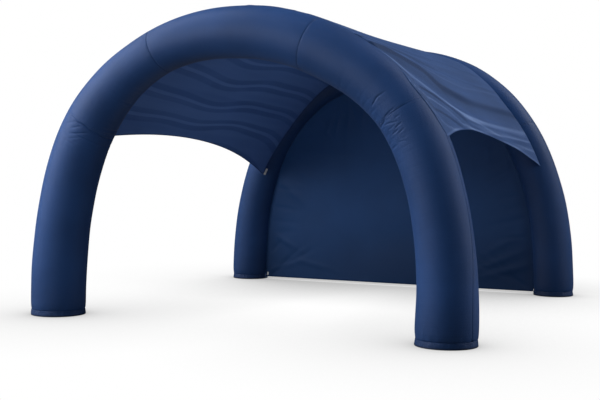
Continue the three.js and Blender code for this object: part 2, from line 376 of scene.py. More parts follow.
# Room between the wall and the rear tube, place of its top, and the point its stitches are set in towards
WALL_SEAT = 0.0006
WALL_TOP = 0.4975
WALL_MIDDLE = (0.0, 0.0, 1.4)

# Small squares in the weave of every cloth, and its thread pitch
CHECK_SPACING = 0.008
CHECK_WIDTH = 0.0007
THREAD_PITCH = 0.0016

# From one wave band of the roof's underside to the next
BAND_SPACING = 0.44

# Ribs of the webbing and the threads across them, from one to the next
RIB_PITCH = 0.0034
PICK_PITCH = 0.0022

# Roof strap: the share of its length that lies along the tube, its shift past the hem in lengths, its
# drop under the roof's edge in widths, and its lift and swell in thicknesses
STRAP_SHARE = 0.95
STRAP_SHIFT = 0.45
STRAP_DROP = 0.85
STRAP_LIFT = 0.85
STRAP_SWELL = 0.25

# Camera: where it stands, its lens, sensor, tilt and roll, and its turn from straight into the entrance
CAMERA_PLACE = (5.417, -11.947, 1.68)
CAMERA_LENS = 64.99
CAMERA_SENSOR = 36.0
CAMERA_PITCH = math.radians(1.839)
CAMERA_ROLL = math.radians(0.4)
VIEW_YAW = math.radians(25.748)

# Floor of the stage: how far it reaches each way, and its level just under the feet
FLOOR_REACH = 60.0
FLOOR_LEVEL = -0.0005

# Soft lights: azimuth and elevation as seen from the camera, strength, and whether cloth shows their gloss
STUDIO_LIGHTS = (
    ("key", -90, 58, 2.10, False),
    ("left_high", -110, 42, 1.30, True),
    ("left_low", -90, 12, 0.70, True),
    ("right_fill", 105, 40, 1.45, True),
    ("right_low", 110, 8, 0.80, False),
    ("front_right_low", 60, 8, 0.20, False),
)
SOFT_ANGLE = math.radians(40)

# Soft boxes: metres to the camera's right, towards the camera and up, power, spread in degrees, and
# gloss; they face a point part of the way out from the tent's middle
SOFT_BOXES = (
    ("left_box", -6.5, 2.0, 2.9, 88.0, 180, True),
    ("left_high_box", -6.0, 2.0, 4.0, 65.0, 180, True),
    ("front_left_box", -5.0, 6.0, 3.4, 84.0, 180, True),
    ("front_left_low_box", -5.0, 6.0, 1.5, 22.0, 180, True),
    ("right_box", 6.5, 2.0, 1.5, 42.0, 180, True),
    ("front_right_box", 5.0, 6.0, 4.0, 55.0, 180, False),
    ("floor_box", 0.0, 0.0, 0.04, 7.6, 115, True),
)
BOX_SIZE = 3.0
BOX_AIM_SHARE = 0.3
BOX_AIM_HEIGHT = 1.5

# Soft box under the front arch, flagged so that only the back wall catches it
WALL_BOX = ("wall_box", -0.2, 1.5, 1.6, 6.0, 90, False)


def length(name, description, default):
    """A size in metres that a user may change."""
    return bpy.props.FloatProperty(
        name=name, description=description, default=default, min=0.0, unit="LENGTH", precision=4
    )


def colour(name, description, default):
    """A colour that a user may change."""
    return bpy.props.FloatVectorProperty(
        name=name, description=description, default=default, size=3, min=0.0, max=1.0, subtype="COLOR"
    )


class TentSizes(bpy.types.PropertyGroup):
    """Sizes of the tent's arches, sheets, seams and webbing."""

    half_span: length("Half span", "From the middle of the tent to the middle of a foot", 2.257)
    rise: length("Rise", "Height of the arch line over the floor", 3.050)
    squareness: bpy.props.FloatProperty(
        name="Squareness", description="2 gives an ellipse, more gives squarer shoulders", default=2.3515
    )
    arch_spacing: length("Arch spacing", "Between the middles of the two arches", 4.511)
    front_foot: length("Front foot reach", "Reach of a front foot, to centre the tent by", 0.313)
    rear_foot: length("Rear foot reach", "Reach of a rear foot, to centre the tent by", 0.260)
    cuff_height: length("Cuff height", "Height of the foot cuffs", 0.064)
    cloth: length("Cloth", "Thickness of the roof and the back wall", 0.002)
    roof_lift: length("Roof lift", "Room between the roof and the tube under it", 0.0005)
    roof_sag: length("Roof sag", "Sag of the roof half way back", 0.012)
    shoulder_sag: length("Shoulder sag", "Further sag of the roof at the shoulders", 0.045)
    wall_hem: length("Wall hem height", "Gap between the back wall's hem and the floor", 0.030)
    wall_room: length("Wall room at the cuffs", "Gap between the back wall and a foot cuff", 0.0012)
    hem_roll: length("Hem roll", "Radius of the rolled hems", 0.0045)
    tape_width: length("Tape width", "Width of the tape that closes a tube", 0.042)
    stitch_pitch: length("Stitch pitch", "From one stitch to the next", 0.014)
    stitch_length: length("Stitch length", "Length of one stitch", 0.0095)
    stitch_thread: length("Thread", "Thickness of the sewing thread", 0.0026)
    webbing: length("Webbing", "Thickness of the webbing", 0.003)
    strap_length: length("Strap length", "Length of the roof strap", 0.104)
    strap_width: length("Strap width", "Width of the roof strap", 0.028)


class TentColours(bpy.types.PropertyGroup):
    """Colours of the tent's cloth, thread and webbing, and of the stage."""

    arch: colour("Arch cloth", "Coated cloth of the tubes", (0.0138, 0.0460, 0.150))
    roof: colour("Roof cloth", "Upper side of the roof", (0.0380, 0.0780, 0.200))
    # Painted highlight laid on the roof along its folds and side hems
    roof_fold_highlight: colour("Tight roof cloth", "Roof where a fold draws it tight", (0.1400, 0.2150, 0.4150))
    roof_under: colour("Roof underside", "Underside of the roof", (0.064, 0.138, 0.375))
    roof_print: colour("Roof print", "Wave bands on the roof's underside", (0.125, 0.240, 0.570))
    wall: colour("Wall cloth", "Back wall", (0.0158, 0.0540, 0.163))
    thread: colour("Thread", "Sewing thread", (0.014, 0.046, 0.140))
    webbing: colour("Webbing", "Strap and tie", (0.85, 0.86, 0.87))
    floor: colour("Floor", "Studio floor", (0.92, 0.92, 0.92))


def through(table, column=1):
    """A smooth function through the rows of a table."""
    places = np.array([row[0] for row in table])
    values = np.array([row[column] for row in table])

    def evaluate(s):
        s = np.clip(s, places[0], places[-1])
        after = np.clip(np.searchsorted(places, s, side="right"), 1, len(places) - 1)
        before = after - 1
        earlier = np.where(after == 1, after, after - 2)
        later = np.where(after == len(places) - 1, after - 1, np.minimum(after + 1, len(places) - 1))
        half = (places[after] - places[before]) / 2
        w0 = half / (places[before] - places[earlier])
        w1 = half / (places[later] - places[after])
        p = (s - places[before]) / (2 * half)
        return (
            values[earlier] * (-w0 * p**3 + 2 * w0 * p**2 - w0 * p)
            + values[before] * ((1 + w0) * p**3 - (1.5 + 2 * w0) * p**2 + (w0 - 0.5) * p + 1)
            + values[after] * (-(1 + w1) * p**3 + (1.5 + w1) * p**2 + 0.5 * p)
            + values[later] * (w1 * p**3 - w1 * p**2)
        )

    return evaluate


def soft_noise(points, wavelength, seed, waves=14):
    """Smooth unevenness of about unit size, the same on every run."""
    rng = np.random.default_rng(seed)
    heading = rng.normal(size=(waves, 3))
    heading /= np.linalg.norm(heading, axis=1)[:, None]
    pace = 2 * np.pi / wavelength * rng.uniform(0.6, 1.5, waves)
    phase = rng.uniform(0, 2 * np.pi, waves)
    return np.cos(points @ (heading * pace[:, None]).T + phase).sum(-1) * math.sqrt(2 / waves)


def unit(vectors):
    """Vectors of length one."""
    return vectors / np.maximum(np.linalg.norm(vectors, axis=-1, keepdims=True), 1e-12)


class ArchLine:
    """The superellipse that both arches follow, by share of its length from the right foot."""

    def __init__(self, sizes):
        self.turn = np.linspace(0, np.pi, 4001)
        power = 2 / sizes.squareness
        c, s = np.cos(self.turn), np.abs(np.sin(self.turn))
        self.x = sizes.half_span * np.sign(c) * np.abs(c) ** power
        self.z = sizes.rise * s**power
        normal_x = np.sign(c) * np.abs(c) ** (2 - power) / sizes.half_span
        normal_z = s ** (2 - power) / sizes.rise
        size = np.hypot(normal_x, normal_z)
        self.out_x, self.out_z = normal_x / size, normal_z / size
        steps = np.hypot(np.diff(self.x), np.diff(self.z))
        run = np.concatenate([[0], np.cumsum(steps)])
        self.length = float(run[-1])
        self.share = run / self.length

    def at(self, s):
        """Point and outward direction at a place, in the arch's own plane."""
        x, z = np.interp(s, self.share, self.x), np.interp(s, self.share, self.z)
        u, w = np.interp(s, self.share, self.out_x), np.interp(s, self.share, self.out_z)
        flat = np.zeros_like(x)
        return np.stack([x, flat, z], -1), unit(np.stack([u, flat, w], -1))


class Arch:
    """One air-filled arch: its tube, and the seams and creases that draw its cloth in."""

    def __init__(self, sizes, line, y, tube, seams, creases, bends, seed):
        self.line, self.y, self.seed = line, y, seed
        self.creases, self.bends = creases, bends
        self.radius, self.inset = through(tube, 1), through(tube, 2)
        cuff = sizes.cuff_height / line.length
        self.seams = (cuff, *(seam[0] for seam in seams), 1 - cuff)
        feet = [(place, *draw, *ALL_ROUND) for place in (cuff, 1 - cuff) for draw in FOOT_DRAWS]
        self.draws = (*seams, *feet)

    def ring(self, s):
        """Middle, outward direction and radius of the tube at a place."""
        point, outward = self.line.at(s)
        centre = point - outward * self.inset(s)[..., None]
        centre[..., 1] = self.y
        return centre, outward, self.radius(s)

    def on_tube(self, s, angle, lift=0.0):
        """Points on or over the plain tube: the angle runs from its outer side to the back."""
        s, angle, lift = np.broadcast_arrays(np.asarray(s, float), angle, lift)
        centre, outward, radius = self.ring(s)
        reach = radius + lift
        points = centre + outward * (reach * np.cos(angle))[..., None]
        points[..., 1] += reach * np.sin(angle)
        return points

    def facing(self, s, angle):
        """Direction straight out of the tube."""
        s, angle = np.broadcast_arrays(np.asarray(s, float), angle)
        outward = self.line.at(s)[1]
        direction = outward * np.cos(angle)[..., None]
        direction[..., 1] += np.sin(angle)
        return direction

    def drawn_in(self, s, angle):
        """How far the cloth lies under the plain tube."""
        s, angle = np.broadcast_arrays(np.asarray(s, float), angle)
        run = self.line.length
        around = np.stack([s * run, TUBE_RADIUS * np.cos(angle), TUBE_RADIUS * np.sin(angle)], -1)
        depth = UNEVENNESS * (1.3 + soft_noise(around, UNEVEN_LENGTH, self.seed))
        inner = np.clip(0.5 - 0.5 * np.cos(angle), 0, 1)
        degrees = np.degrees((angle + np.pi) % (2 * np.pi) - np.pi)
        for number, (seam, draw, width, middle, spread) in enumerate(self.draws):
            away = np.abs(s - seam) * run
            side = np.abs((degrees - middle + 180) % 360 - 180) / spread
            pull = draw * np.exp(-(side**2)) + LEAST_DRAW
            depth = depth + pull * np.exp(-away / width)
            pucker = soft_noise(around * (0.05, 1, 1), PUCKER_LENGTH, self.seed + 5 + number)
            pucker = PUCKER_SHARE * (1.3 + np.clip(pucker, -1.3, 2))
            depth = depth + pull * pucker * np.exp(-((away / PUCKER_REACH) ** 2))
        wrinkle = soft_noise(around / WRINKLE_SIZE, 1.0, self.seed + 40)
        for place, spread, size in self.bends:
            near = np.exp(-(((s - place) / spread) ** 2))
            depth = depth + size * near * inner**2 * np.clip(wrinkle, 0, None) ** 1.5
        for s0, a0, s1, a1, width, dip in self.creases:
            t = 0.5 + ((degrees - (a0 + a1) / 2 + 180) % 360 - 180) / (a1 - a0)
            away = (s - s0 - (s1 - s0) * t) * run / width
            depth = depth + dip * np.exp(-(away**2) - (np.abs(2 * t - 1) / 0.92) ** 4)
        return depth

    def cloth(self, s, angle, lift=0.0):
        """Points on or over the tube's cloth."""
        return self.on_tube(s, angle, lift - self.drawn_in(s, angle))


class Tent:
    """The tent's two arches and the sheets between them."""

    def __init__(self, sizes):
        self.sizes = sizes
        self.line = ArchLine(sizes)
        front_y = -(sizes.arch_spacing + sizes.rear_foot - sizes.front_foot) / 2
        rear_y = front_y + sizes.arch_spacing
        self.front = Arch(
            sizes, self.line, front_y, FRONT_TUBE, FRONT_SEAMS, FRONT_CREASES, FRONT_BENDS, FRONT_SEED
        )
        self.rear = Arch(sizes, self.line, rear_y, REAR_TUBE, REAR_SEAMS, (), REAR_BENDS, REAR_SEED)
        self.rear_seat = through(REAR_SEAT)
        self.lap_edge = through(ROOF_LAP)

    def rear_place(self, place):
        """Place on the rear arch that the roof's cloth reaches from a place on the front one."""
        front, rear = (0.0, *self.front.seams[1:-1], 1.0), (0.0, *self.rear.seams[1:-1], 1.0)
        base = np.interp(place, front, rear)
        for hem in (RIGHT_HEM, LEFT_HEM):
            level = np.interp(hem["front"], front, rear)
            near = np.clip(1 - np.abs(place - hem["front"]) / HEM_DRAW, 0, 1)
            base = base + (hem["rear"] - level) * near**2
        return base

    def roof_places(self, place, v):
        """Places on the front and the rear arch that a thread of the roof runs between."""
        shift = np.zeros_like(v)
        for hem in (RIGHT_HEM, LEFT_HEM):
            near = np.clip(1 - np.abs(place - hem["front"]) / HEM_REACH, 0, 1)
            shift = shift + 4 * v * (1 - v) * (hem["scallop"] + hem["lean"] * (2 * v - 1)) * near**2
        return place + shift, self.rear_place(place) + shift

    def roof_creases(self, at, row):
        """Drop of the roof's tension folds, and the painted highlight, or under 0 the painted shade, laid
        along them.
        """
        drop = np.zeros_like(at)
        painted_fold_shading = np.zeros_like(at)
        for width, turn, path in ROOF_CREASES:
            rows, places = zip(*path)
            away = (at - np.interp(row, rows, places)) / width
            step = (STEP_UP if turn > 0 else STEP_DOWN) * turn * width * self.line.length / STEP_SLOPE
            drop = drop + step * np.tanh(STEP_SLOPE * away) * np.exp(-((away / STEP_REACH) ** 2))
            # Painted highlight where the fold turns up, painted shade where it turns down
            painted_fold_shading = painted_fold_shading + turn * np.exp(-(away**2))
        return drop, painted_fold_shading * (LAP_PAINTED_SHADING - PAINTED_SHADING_LOST * np.clip(row / LOSS_ROW, 0, 1))

    def roof_fold_shading(self, place, row):
        """Painted highlight and shade along the roof's folds, and painted highlight along its side hems,
        over its whole grid.
        """
        place, row = np.broadcast_arrays(np.asarray(place, float), row)
        v = np.clip(row, 0, 1)
        front_place, rear_place = self.roof_places(place, v)
        painted_fold_shading = self.roof_creases(front_place + (rear_place - front_place) * v, row)[1]
        for hem in (RIGHT_HEM, LEFT_HEM):
            inside = np.abs(place - hem["front"]) * self.line.length
            # Painted highlight along each side hem
            painted_fold_shading = painted_fold_shading + HEM_PAINTED_HIGHLIGHT * np.exp(-((inside / HEM_HIGHLIGHT_WIDTH) ** 4))
        return painted_fold_shading

    def roof(self, place, row):
        """Middle of the roof's cloth: row -1 to 0 is the lap on the front arch, 0 to 1 runs back."""
        sizes = self.sizes
        place, row = np.broadcast_arrays(np.asarray(place, float), row)
        lift = sizes.roof_lift + sizes.cloth / 2
        v = np.clip(row, 0, 1)
        front_place, rear_place = self.roof_places(place, v)
        seat = np.radians(self.rear_seat(rear_place))
        start = self.front.cloth(front_place, 0.0, lift)
        end = self.rear.on_tube(rear_place, seat, sizes.roof_lift + np.abs(np.cos(seat)) * sizes.cloth / 2)
        at = front_place + (rear_place - front_place) * v
        outward_front = self.line.at(front_place)[1]
        outward_rear = self.line.at(rear_place)[1]
        outward = unit(outward_front + (outward_rear - outward_front) * v[..., None])
        swing = np.sin(np.pi * v)
        shoulder = np.exp(-(((np.abs(at - 0.5) - SHOULDER_PLACE) / SHOULDER_SPREAD) ** 2))
        drop = (sizes.roof_sag + sizes.shoulder_sag * shoulder) * swing**2
        for fold_front, fold_rear, width, depth in ROOF_FOLDS:
            away = (at - fold_front - (fold_rear - fold_front) * v) / width
            drop = drop + depth * np.exp(-(away**2)) * swing
        crease = FINE_CREASE * soft_noise(np.stack([at * 60, v * 1.6, v * 0 + 3], -1), 1.0, ROOF_SEED)
        crease = crease + self.roof_creases(at, row)[0]
        held = np.clip(v / FRONT_HOLD, 0, 1)
        crease = crease * held + 0.8 * np.minimum(crease, 0) * (1 - held)
        drop = drop + crease * np.clip((1 - v) / REAR_HOLD, 0, 1)
        points = start + (end - start) * v[..., None] - outward * drop[..., None]
        from_foot = 0.5 - np.abs(place - 0.5)
        edge = np.radians(self.lap_edge(from_foot))
        flush = np.clip((from_foot - FLUSH_PLACE) / FLUSH_RUN, 0, 1) * np.clip(-1.5 * row, 0, 1)
        raised = -crease * np.clip(2 * (1 + row), 0, 1) - flush * sizes.cloth
        lap = self.front.cloth(place, -edge * np.minimum(row, 0), lift + raised)
        return np.where((row < 0)[..., None], lap, points)

    def wall_edge(self, s, side):
        """Edge of the back wall against the rear tube, on the right (1) or the left (-1)."""
        sizes = self.sizes
        cuff = sizes.cuff_height / self.line.length
        low = np.clip((cuff * 1.35 - s) / (cuff * 0.3), 0, 1)
        place = s if side > 0 else 1 - s
        room = WALL_SEAT + (sizes.wall_room - WALL_SEAT) * low
        return self.rear.on_tube(place, np.pi, room - (1 - low) * self.rear.drawn_in(place, np.pi))

    def wall(self, s, across):
        """Middle of the back wall's cloth, from its right edge (0) to its left edge (1)."""
        s, across = np.broadcast_arrays(np.asarray(s, float), across)
        right, left = self.wall_edge(s, 1), self.wall_edge(s, -1)
        points = right + (left - right) * across[..., None]
        x, z = points[..., 0], points[..., 2]
        span = np.linalg.norm(left - right, axis=-1)
        free = np.clip(np.minimum(across, 1 - across) * span / WALL_HELD, 0, 1)
        free = free * (0.4 + 0.6 * np.clip(z / WALL_FOOT, 0, 1))
        depth = np.zeros_like(x)
        for fold_x, fold_z, turn, run, width, dip in WALL_FOLDS + self.wall_pulls():
            c, w = math.cos(math.radians(turn)), math.sin(math.radians(turn))
            along = ((x - fold_x) * c + (z - fold_z) * w) / run
            away = ((z - fold_z) * c - (x - fold_x) * w) / width
            depth = depth + dip * np.exp(-(along**2) - away**2)
        slow = soft_noise(np.stack([x, z, x * 0], -1), WALL_UNEVEN_LENGTH, WALL_SEED)
        points[..., 1] += (depth + WALL_UNEVENNESS * slow) * free * free * (3 - 2 * free)
        return points

    def wall_pulls(self):
        """Short folds that run in from the wall's edge, where the tube holds it."""
        rng = np.random.default_rng(PULL_SEED)
        pulls = []
        for s in np.linspace(0.09, 0.91, 34):
            s = s + rng.uniform(-0.008, 0.008)
            point, outward = self.line.at(np.array(s))
            reach = self.rear.radius(np.array(s)) + rng.uniform(0.16, 0.30)
            centre = point - outward * reach
            turn = math.degrees(math.atan2(outward[2], outward[0])) + rng.uniform(-14, 14)
            run, width = rng.uniform(0.14, 0.30), rng.uniform(0.022, 0.045)
            pulls.append((centre[0], centre[2], turn, run, width, rng.uniform(0.003, 0.0075)))
        for x, turn in CORNER_PULLS:
            pulls.append((x + math.cos(math.radians(turn)) * 0.25, 0.26, turn, 0.34, 0.035, 0.008))
        return tuple(pulls)


class Value:
    """A socket of a material, with arithmetic that adds Math nodes."""

    def __init__(self, finish, socket):
        self.finish, self.socket = finish, socket

    def math(self, operation, *others):
        return self.finish.node("ShaderNodeMath", {"operation": operation}, dict(enumerate(others)))

    def __add__(self, other):
        return self.math("ADD", self, other)

    def __radd__(self, other):
        return self.math("ADD", other, self)

    def __sub__(self, other):
        return self.math("SUBTRACT", self, other)

    def __rsub__(self, other):
        return self.math("SUBTRACT", other, self)

    def __mul__(self, other):
        return self.math("MULTIPLY", self, other)

    def __rmul__(self, other):
        return self.math("MULTIPLY", other, self)

    def __truediv__(self, other):
        return self.math("DIVIDE", self, other)

    def wave(self):
        return self.math("SINE", self)

    def part(self):
        return self.math("FRACT", self)

    def size(self):
        return self.math("ABSOLUTE", self)


class Nodes:
    """A tree of nodes, put together one by one."""

    def feed(self, socket, given):
        """Links a socket to a value of the tree, or sets it to a plain one."""
        given = given.socket if isinstance(given, Value) else given
        if isinstance(given, bpy.types.NodeSocket):
            self.tree.links.new(given, socket)
        else:
            socket.default_value = given

    def add(self, kind, settings=None, inputs=None):
        """Adds a node, sets it up and feeds its sockets."""
        made = self.tree.nodes.new(kind)
        for key, setting in (settings or {}).items():
            setattr(made, key, setting)
        for key, given in (inputs or {}).items():
            self.feed(made.inputs[key], given)
        return made


class Finish(Nodes):
    """The nodes of one material or of the studio's light."""

    def __init__(self, owner):
        self.owner = owner
        owner.use_nodes = True
        self.tree = owner.node_tree
        self.tree.nodes.clear()

    def node(self, kind, settings=None, inputs=None, output=0):
        """Adds a node and returns one of its outputs."""
        return Value(self, self.add(kind, settings, inputs).outputs[output])

    def attribute(self, name):
        """A value that the mesh itself carries."""
        settings = {"attribute_type": "GEOMETRY", "attribute_name": name}
        return self.node("ShaderNodeAttribute", settings, None, "Fac")

    def axes(self, vector):
        """The first two parts of a vector."""
        made = self.add("ShaderNodeSeparateXYZ", None, {"Vector": vector})
        return Value(self, made.outputs["X"]), Value(self, made.outputs["Y"])

    def rise(self, value, low, high):
        """A smooth mask that goes from 0 at low to 1 at high."""
        return self.node(
            "ShaderNodeMapRange",
            {"interpolation_type": "SMOOTHSTEP"},
            {"Value": value, "From Min": low, "From Max": high},
        )

    def mix(self, factor, first, second):
        """A colour between two others."""
        made = self.add("ShaderNodeMix", {"data_type": "RGBA"}, {"Factor": factor})
        for socket, given in zip([i for i in made.inputs if i.type == "RGBA"], (first, second)):
            self.feed(socket, given)
        return Value(self, [o for o in made.outputs if o.type == "RGBA"][0])

    def noise(self, vector, scale, detail=3.0, roughness=0.55):
        """Cloudy variation from 0 to 1."""
        return self.node(
            "ShaderNodeTexNoise",
            None,
            {"Vector": vector, "Scale": scale, "Detail": detail, "Roughness": roughness},
        )

    def stretched(self, vector, scale):
        """A vector with its parts scaled."""
        return self.node("ShaderNodeMapping", None, {"Vector": vector, "Scale": scale})

    def bump(self, height, distance, strength=1.0, under=None):
        """A surface direction tilted by a height."""
        inputs = {"Height": height, "Distance": distance, "Strength": strength}
        if under is not None:
            inputs["Normal"] = under
        return self.node("ShaderNodeBump", None, inputs)

    def close(self, **sockets):
        """Ends a material with its surface."""
        surface = self.node("ShaderNodeBsdfPrincipled", None, sockets)
        self.add("ShaderNodeOutputMaterial", None, {"Surface": surface})
        return self.owner


def rgba(shade, factor=1.0):
    """A colour with its opacity, lighter or deeper by a factor."""
    return (*[min(1.0, c * factor) for c in shade], 1.0)


class Cloth(Finish):
    """The nodes of a woven cloth: a tone that drifts, slubs along its threads and small checks."""

    def __init__(self, name, shade, cloud_scale, slub_scale):
        super().__init__(bpy.data.materials.new(name))
        self.shade = tuple(shade)
        self.place = self.node("ShaderNodeTexCoord", None, None, "Object")
        self.flat = self.node("ShaderNodeTexCoord", None, None, "UV")
        self.cloud = self.noise(self.place, cloud_scale, 4.0)
        self.slubs = self.noise(self.stretched(self.flat, slub_scale), 1.0, 2.0)
        self.checks = self.check_lines()

    def check_lines(self):
        """Mask of the stronger threads that cross in small squares."""
        across, along = [((part / CHECK_SPACING).part() - 0.5).size() for part in self.axes(self.flat)]
        edge = 0.5 - CHECK_WIDTH / CHECK_SPACING
        return across.math("MAXIMUM", self.rise(across, edge, 0.5), self.rise(along, edge, 0.5))

    def thread_height(self):
        """Height of a plain weave, thread over thread."""
        warp, weft = [(part * (2 * math.pi / THREAD_PITCH)).wave() for part in self.axes(self.flat)]
        return warp * weft

    def clouded(self, shade, drift):
        """A colour that drifts lighter and deeper over the cloth."""
        return self.mix(self.rise(self.cloud, 0.3, 0.7), rgba(shade, 1 - drift), rgba(shade, 1 + drift))

    def threads(self, tone, slub, slub_tone, check):
        """A tone with the lighter slubs and checks of the weave over it."""
        tone = self.mix(slub * self.rise(self.slubs, 0.35, 0.75), tone, rgba(self.shade, slub_tone))
        return self.mix(check * self.checks, tone, rgba(self.shade, 1.6))

    def painted_shade_towards_floor(self, tone, share, top, low, factor):
        """A tone darkened by painted shade towards the floor, from one height down to another."""
        height = self.node("ShaderNodeSeparateXYZ", None, {"Vector": self.place}, "Z")
        return self.mix(share * self.rise(height, top, low), tone, rgba(self.shade, factor))

    def ripples(self, scale, detail, distance, strength):
        """A surface direction tilted by soft ripples."""
        height = self.noise(self.stretched(self.flat, scale), 1.0, detail, 0.6)
        return self.bump(height, distance, strength)

    def woven(self, tone, relief, specular, sheen_roughness, sheen_tint):
        """Ends the cloth with its weave over a softer relief."""
        return self.close(
            **{
                "Base Color": tone,
                "Roughness": 0.46 + 0.08 * self.cloud + 0.05 * self.slubs,
                "Normal": self.bump(self.thread_height() + 1.5 * self.checks, 0.00025, 0.5, relief),
                "Specular IOR Level": specular,
                "Sheen Weight": 0.01,
                "Sheen Roughness": sheen_roughness,
                "Sheen Tint": rgba(sheen_tint),
            }
        )


def tube_fabric(colours):
    """Coated cloth of the tubes: satin, finely woven, with faint strain ripples round the tube, and painted
    shade towards the floor.
    """
    f = Cloth("tube_fabric", colours.arch, 1.2, (40.0, 260.0, 1.0))
    tone = f.threads(f.clouded(colours.arch, 0.12), slub=0.16, slub_tone=1.45, check=0.12)
    # Painted shade: darker from 0.6 m down to the floor, darker again over the cuff below its seam, darkest
    # at the very foot
    tone = f.painted_shade_towards_floor(tone, share=0.32, top=0.60, low=0.07, factor=0.30)
    tone = f.painted_shade_towards_floor(tone, share=0.40, top=0.068, low=0.058, factor=0.30)
    tone = f.painted_shade_towards_floor(tone, share=0.75, top=0.024, low=0.003, factor=0.12)
    relief = f.ripples((1.6, 21.0, 1.0), 4.0, distance=0.004, strength=0.55)
    return f.woven(tone, relief, specular=0.20, sheen_roughness=0.45, sheen_tint=(0.62, 0.74, 1.0))


def roof_fabric(colours):
    """Stretched woven roof cloth: plain above with painted highlight and shade along its folds and side
    hems, wave bands in a lighter tone below.
    """
    f = Cloth("roof_fabric", colours.roof, 1.0, (220.0, 60.0, 1.0))
    # The mesh carries painted highlight (over 0) and painted shade (under 0) along the roof's folds and hems
    painted_fold_shading = f.attribute("painted_fold_shading")
    tone = f.clouded(colours.roof, 0.10)
    # Painted highlight along the folds and side hems
    tone = f.mix(f.rise(painted_fold_shading, 0.1, 1.6), tone, rgba(colours.roof_fold_highlight))
    # Painted shade along the folds that turn down
    tone = f.mix(f.rise(painted_fold_shading, -0.1, -1.1), tone, rgba(colours.roof, 0.54))
    tone = f.threads(tone, slub=0.14, slub_tone=1.4, check=0.10)
    u, v = f.axes(f.flat)
    row = (u + 0.07 * (v * 2.1 + 0.5).wave() + 0.02 * (v * 4.9).wave()) / BAND_SPACING
    broad = f.rise((row.part() - 0.5).size(), 0.27, 0.21)
    thin = f.rise(((row + 0.5).part() - 0.5).size(), 0.075, 0.05)
    bands = 0.40 * broad + 0.60 * thin
    below = f.mix(bands, f.clouded(colours.roof_under, 0.08), rgba(colours.roof_print))
    tone = f.mix(f.attribute("under"), tone, below)
    relief = f.ripples((9.0, 1.4, 1.0), 4.0, distance=0.004, strength=0.4)
    return f.woven(tone, relief, specular=0.06, sheen_roughness=0.45, sheen_tint=(0.66, 0.76, 1.0))


def wall_fabric(colours):
    """Woven back wall cloth, a little duller than the tubes, with painted shade that deepens it towards the
    floor.
    """
    f = Cloth("wall_fabric", colours.wall, 0.9, (70.0, 240.0, 1.0))
    tone = f.threads(f.clouded(colours.wall, 0.10), slub=0.14, slub_tone=1.4, check=0.10)
    # Painted shade that darkens the wall from 1.1 m down to the floor
    tone = f.painted_shade_towards_floor(tone, share=0.56, top=1.10, low=0.05, factor=0.30)
    relief = f.ripples((3.0, 3.0, 1.0), 5.0, distance=0.006, strength=0.4)
    return f.woven(tone, relief, specular=0.12, sheen_roughness=0.5, sheen_tint=(0.66, 0.76, 1.0))


def sewing_thread(colours):
    """Twisted sewing thread."""
    f = Finish(bpy.data.materials.new("sewing_thread"))
    place = f.node("ShaderNodeTexCoord", None, None, "Object")
    twist = f.noise(place, 900.0, 2.0)
    shade = f.mix(twist, rgba(colours.thread, 0.8), rgba(colours.thread, 1.3))
    return f.close(
        **{"Base Color": shade, "Roughness": 0.5 + 0.2 * twist, "Sheen Weight": 0.3, "Sheen Roughness": 0.4}
    )


def webbing_weave(colours):
    """Pale ribbed webbing, with painted shade between its ribs."""
    f = Finish(bpy.data.materials.new("webbing_weave"))
    flat = f.node("ShaderNodeTexCoord", None, None, "UV")
    u, v = f.axes(flat)
    ribs = (v * (2 * math.pi / RIB_PITCH)).wave()
    picks = (u * (2 * math.pi / PICK_PITCH)).wave()
    height = ribs + 0.5 * picks * ribs
    dust = f.noise(flat, 90.0, 3.0)
    # Painted shade where the weave lies low between the ribs
    shade = f.mix(f.rise(height, -1.2, 0.9), rgba(colours.webbing, 0.72), rgba(colours.webbing))
    shade = f.mix(0.2 * dust, shade, rgba(colours.webbing, 0.8))
    relief = f.bump(height, 0.0005, 0.7)
    return f.close(
        **{
            "Base Color": shade,
            "Roughness": 0.62 + 0.15 * dust,
            "Normal": relief,
            "Sheen Weight": 0.25,
            "Sheen Roughness": 0.5,
        }
    )


def pale_floor(colours):
    """Plain pale studio floor: soft shade where things stand near it, and little light thrown back up."""
    f = Finish(bpy.data.materials.new("pale_floor"))
    seen = f.node("ShaderNodeLightPath", None, None, "Is Camera Ray")
    open_sky = f.node("ShaderNodeAmbientOcclusion", {"samples": 16}, {"Distance": 2.6}, "AO")
    tone = f.mix(open_sky, rgba((0.10, 0.10, 0.103)), (1.0, 1.0, 1.0, 1.0))
    bright = f.node("ShaderNodeEmission", None, {"Color": tone, "Strength": 1.0})
    dull = f.node("ShaderNodeBsdfDiffuse", None, {"Color": rgba(colours.floor, 0.09)})
    surface = f.node("ShaderNodeMixShader", None, {0: seen, 1: dull, 2: bright})
    f.add("ShaderNodeOutputMaterial", None, {"Surface": surface})
    return f.owner


FINISHES = {
    "tube_fabric": tube_fabric,
    "roof_fabric": roof_fabric,
    "wall_fabric": wall_fabric,
    "sewing_thread": sewing_thread,
    "webbing_weave": webbing_weave,
    "pale_floor": pale_floor,
}


def finish(context, name):
    """A finish by name, made when it is first asked for."""
    return bpy.data.materials.get(name) or FINISHES[name](context.scene.tent_colours)


def add_mesh(context, name, points, faces, corners, material, flat_faces=0):
    """A plain mesh object with its own UV map; the last faces given are left flat."""
    mesh = bpy.data.meshes.new(name)
    mesh.from_pydata(points.reshape(-1, 3).tolist(), [], faces)
    layer = mesh.uv_layers.new(name="cloth")
    layer.data.foreach_set("uv", np.asarray(corners, np.float32).ravel())
    smooth = np.ones(len(faces), bool)
    if flat_faces:
        smooth[-flat_faces:] = False
    mesh.polygons.foreach_set("use_smooth", smooth)
    mesh.materials.append(material)
    mesh.update()
    piece = bpy.data.objects.new(name, mesh)
    context.scene.collection.objects.link(piece)
    return piece


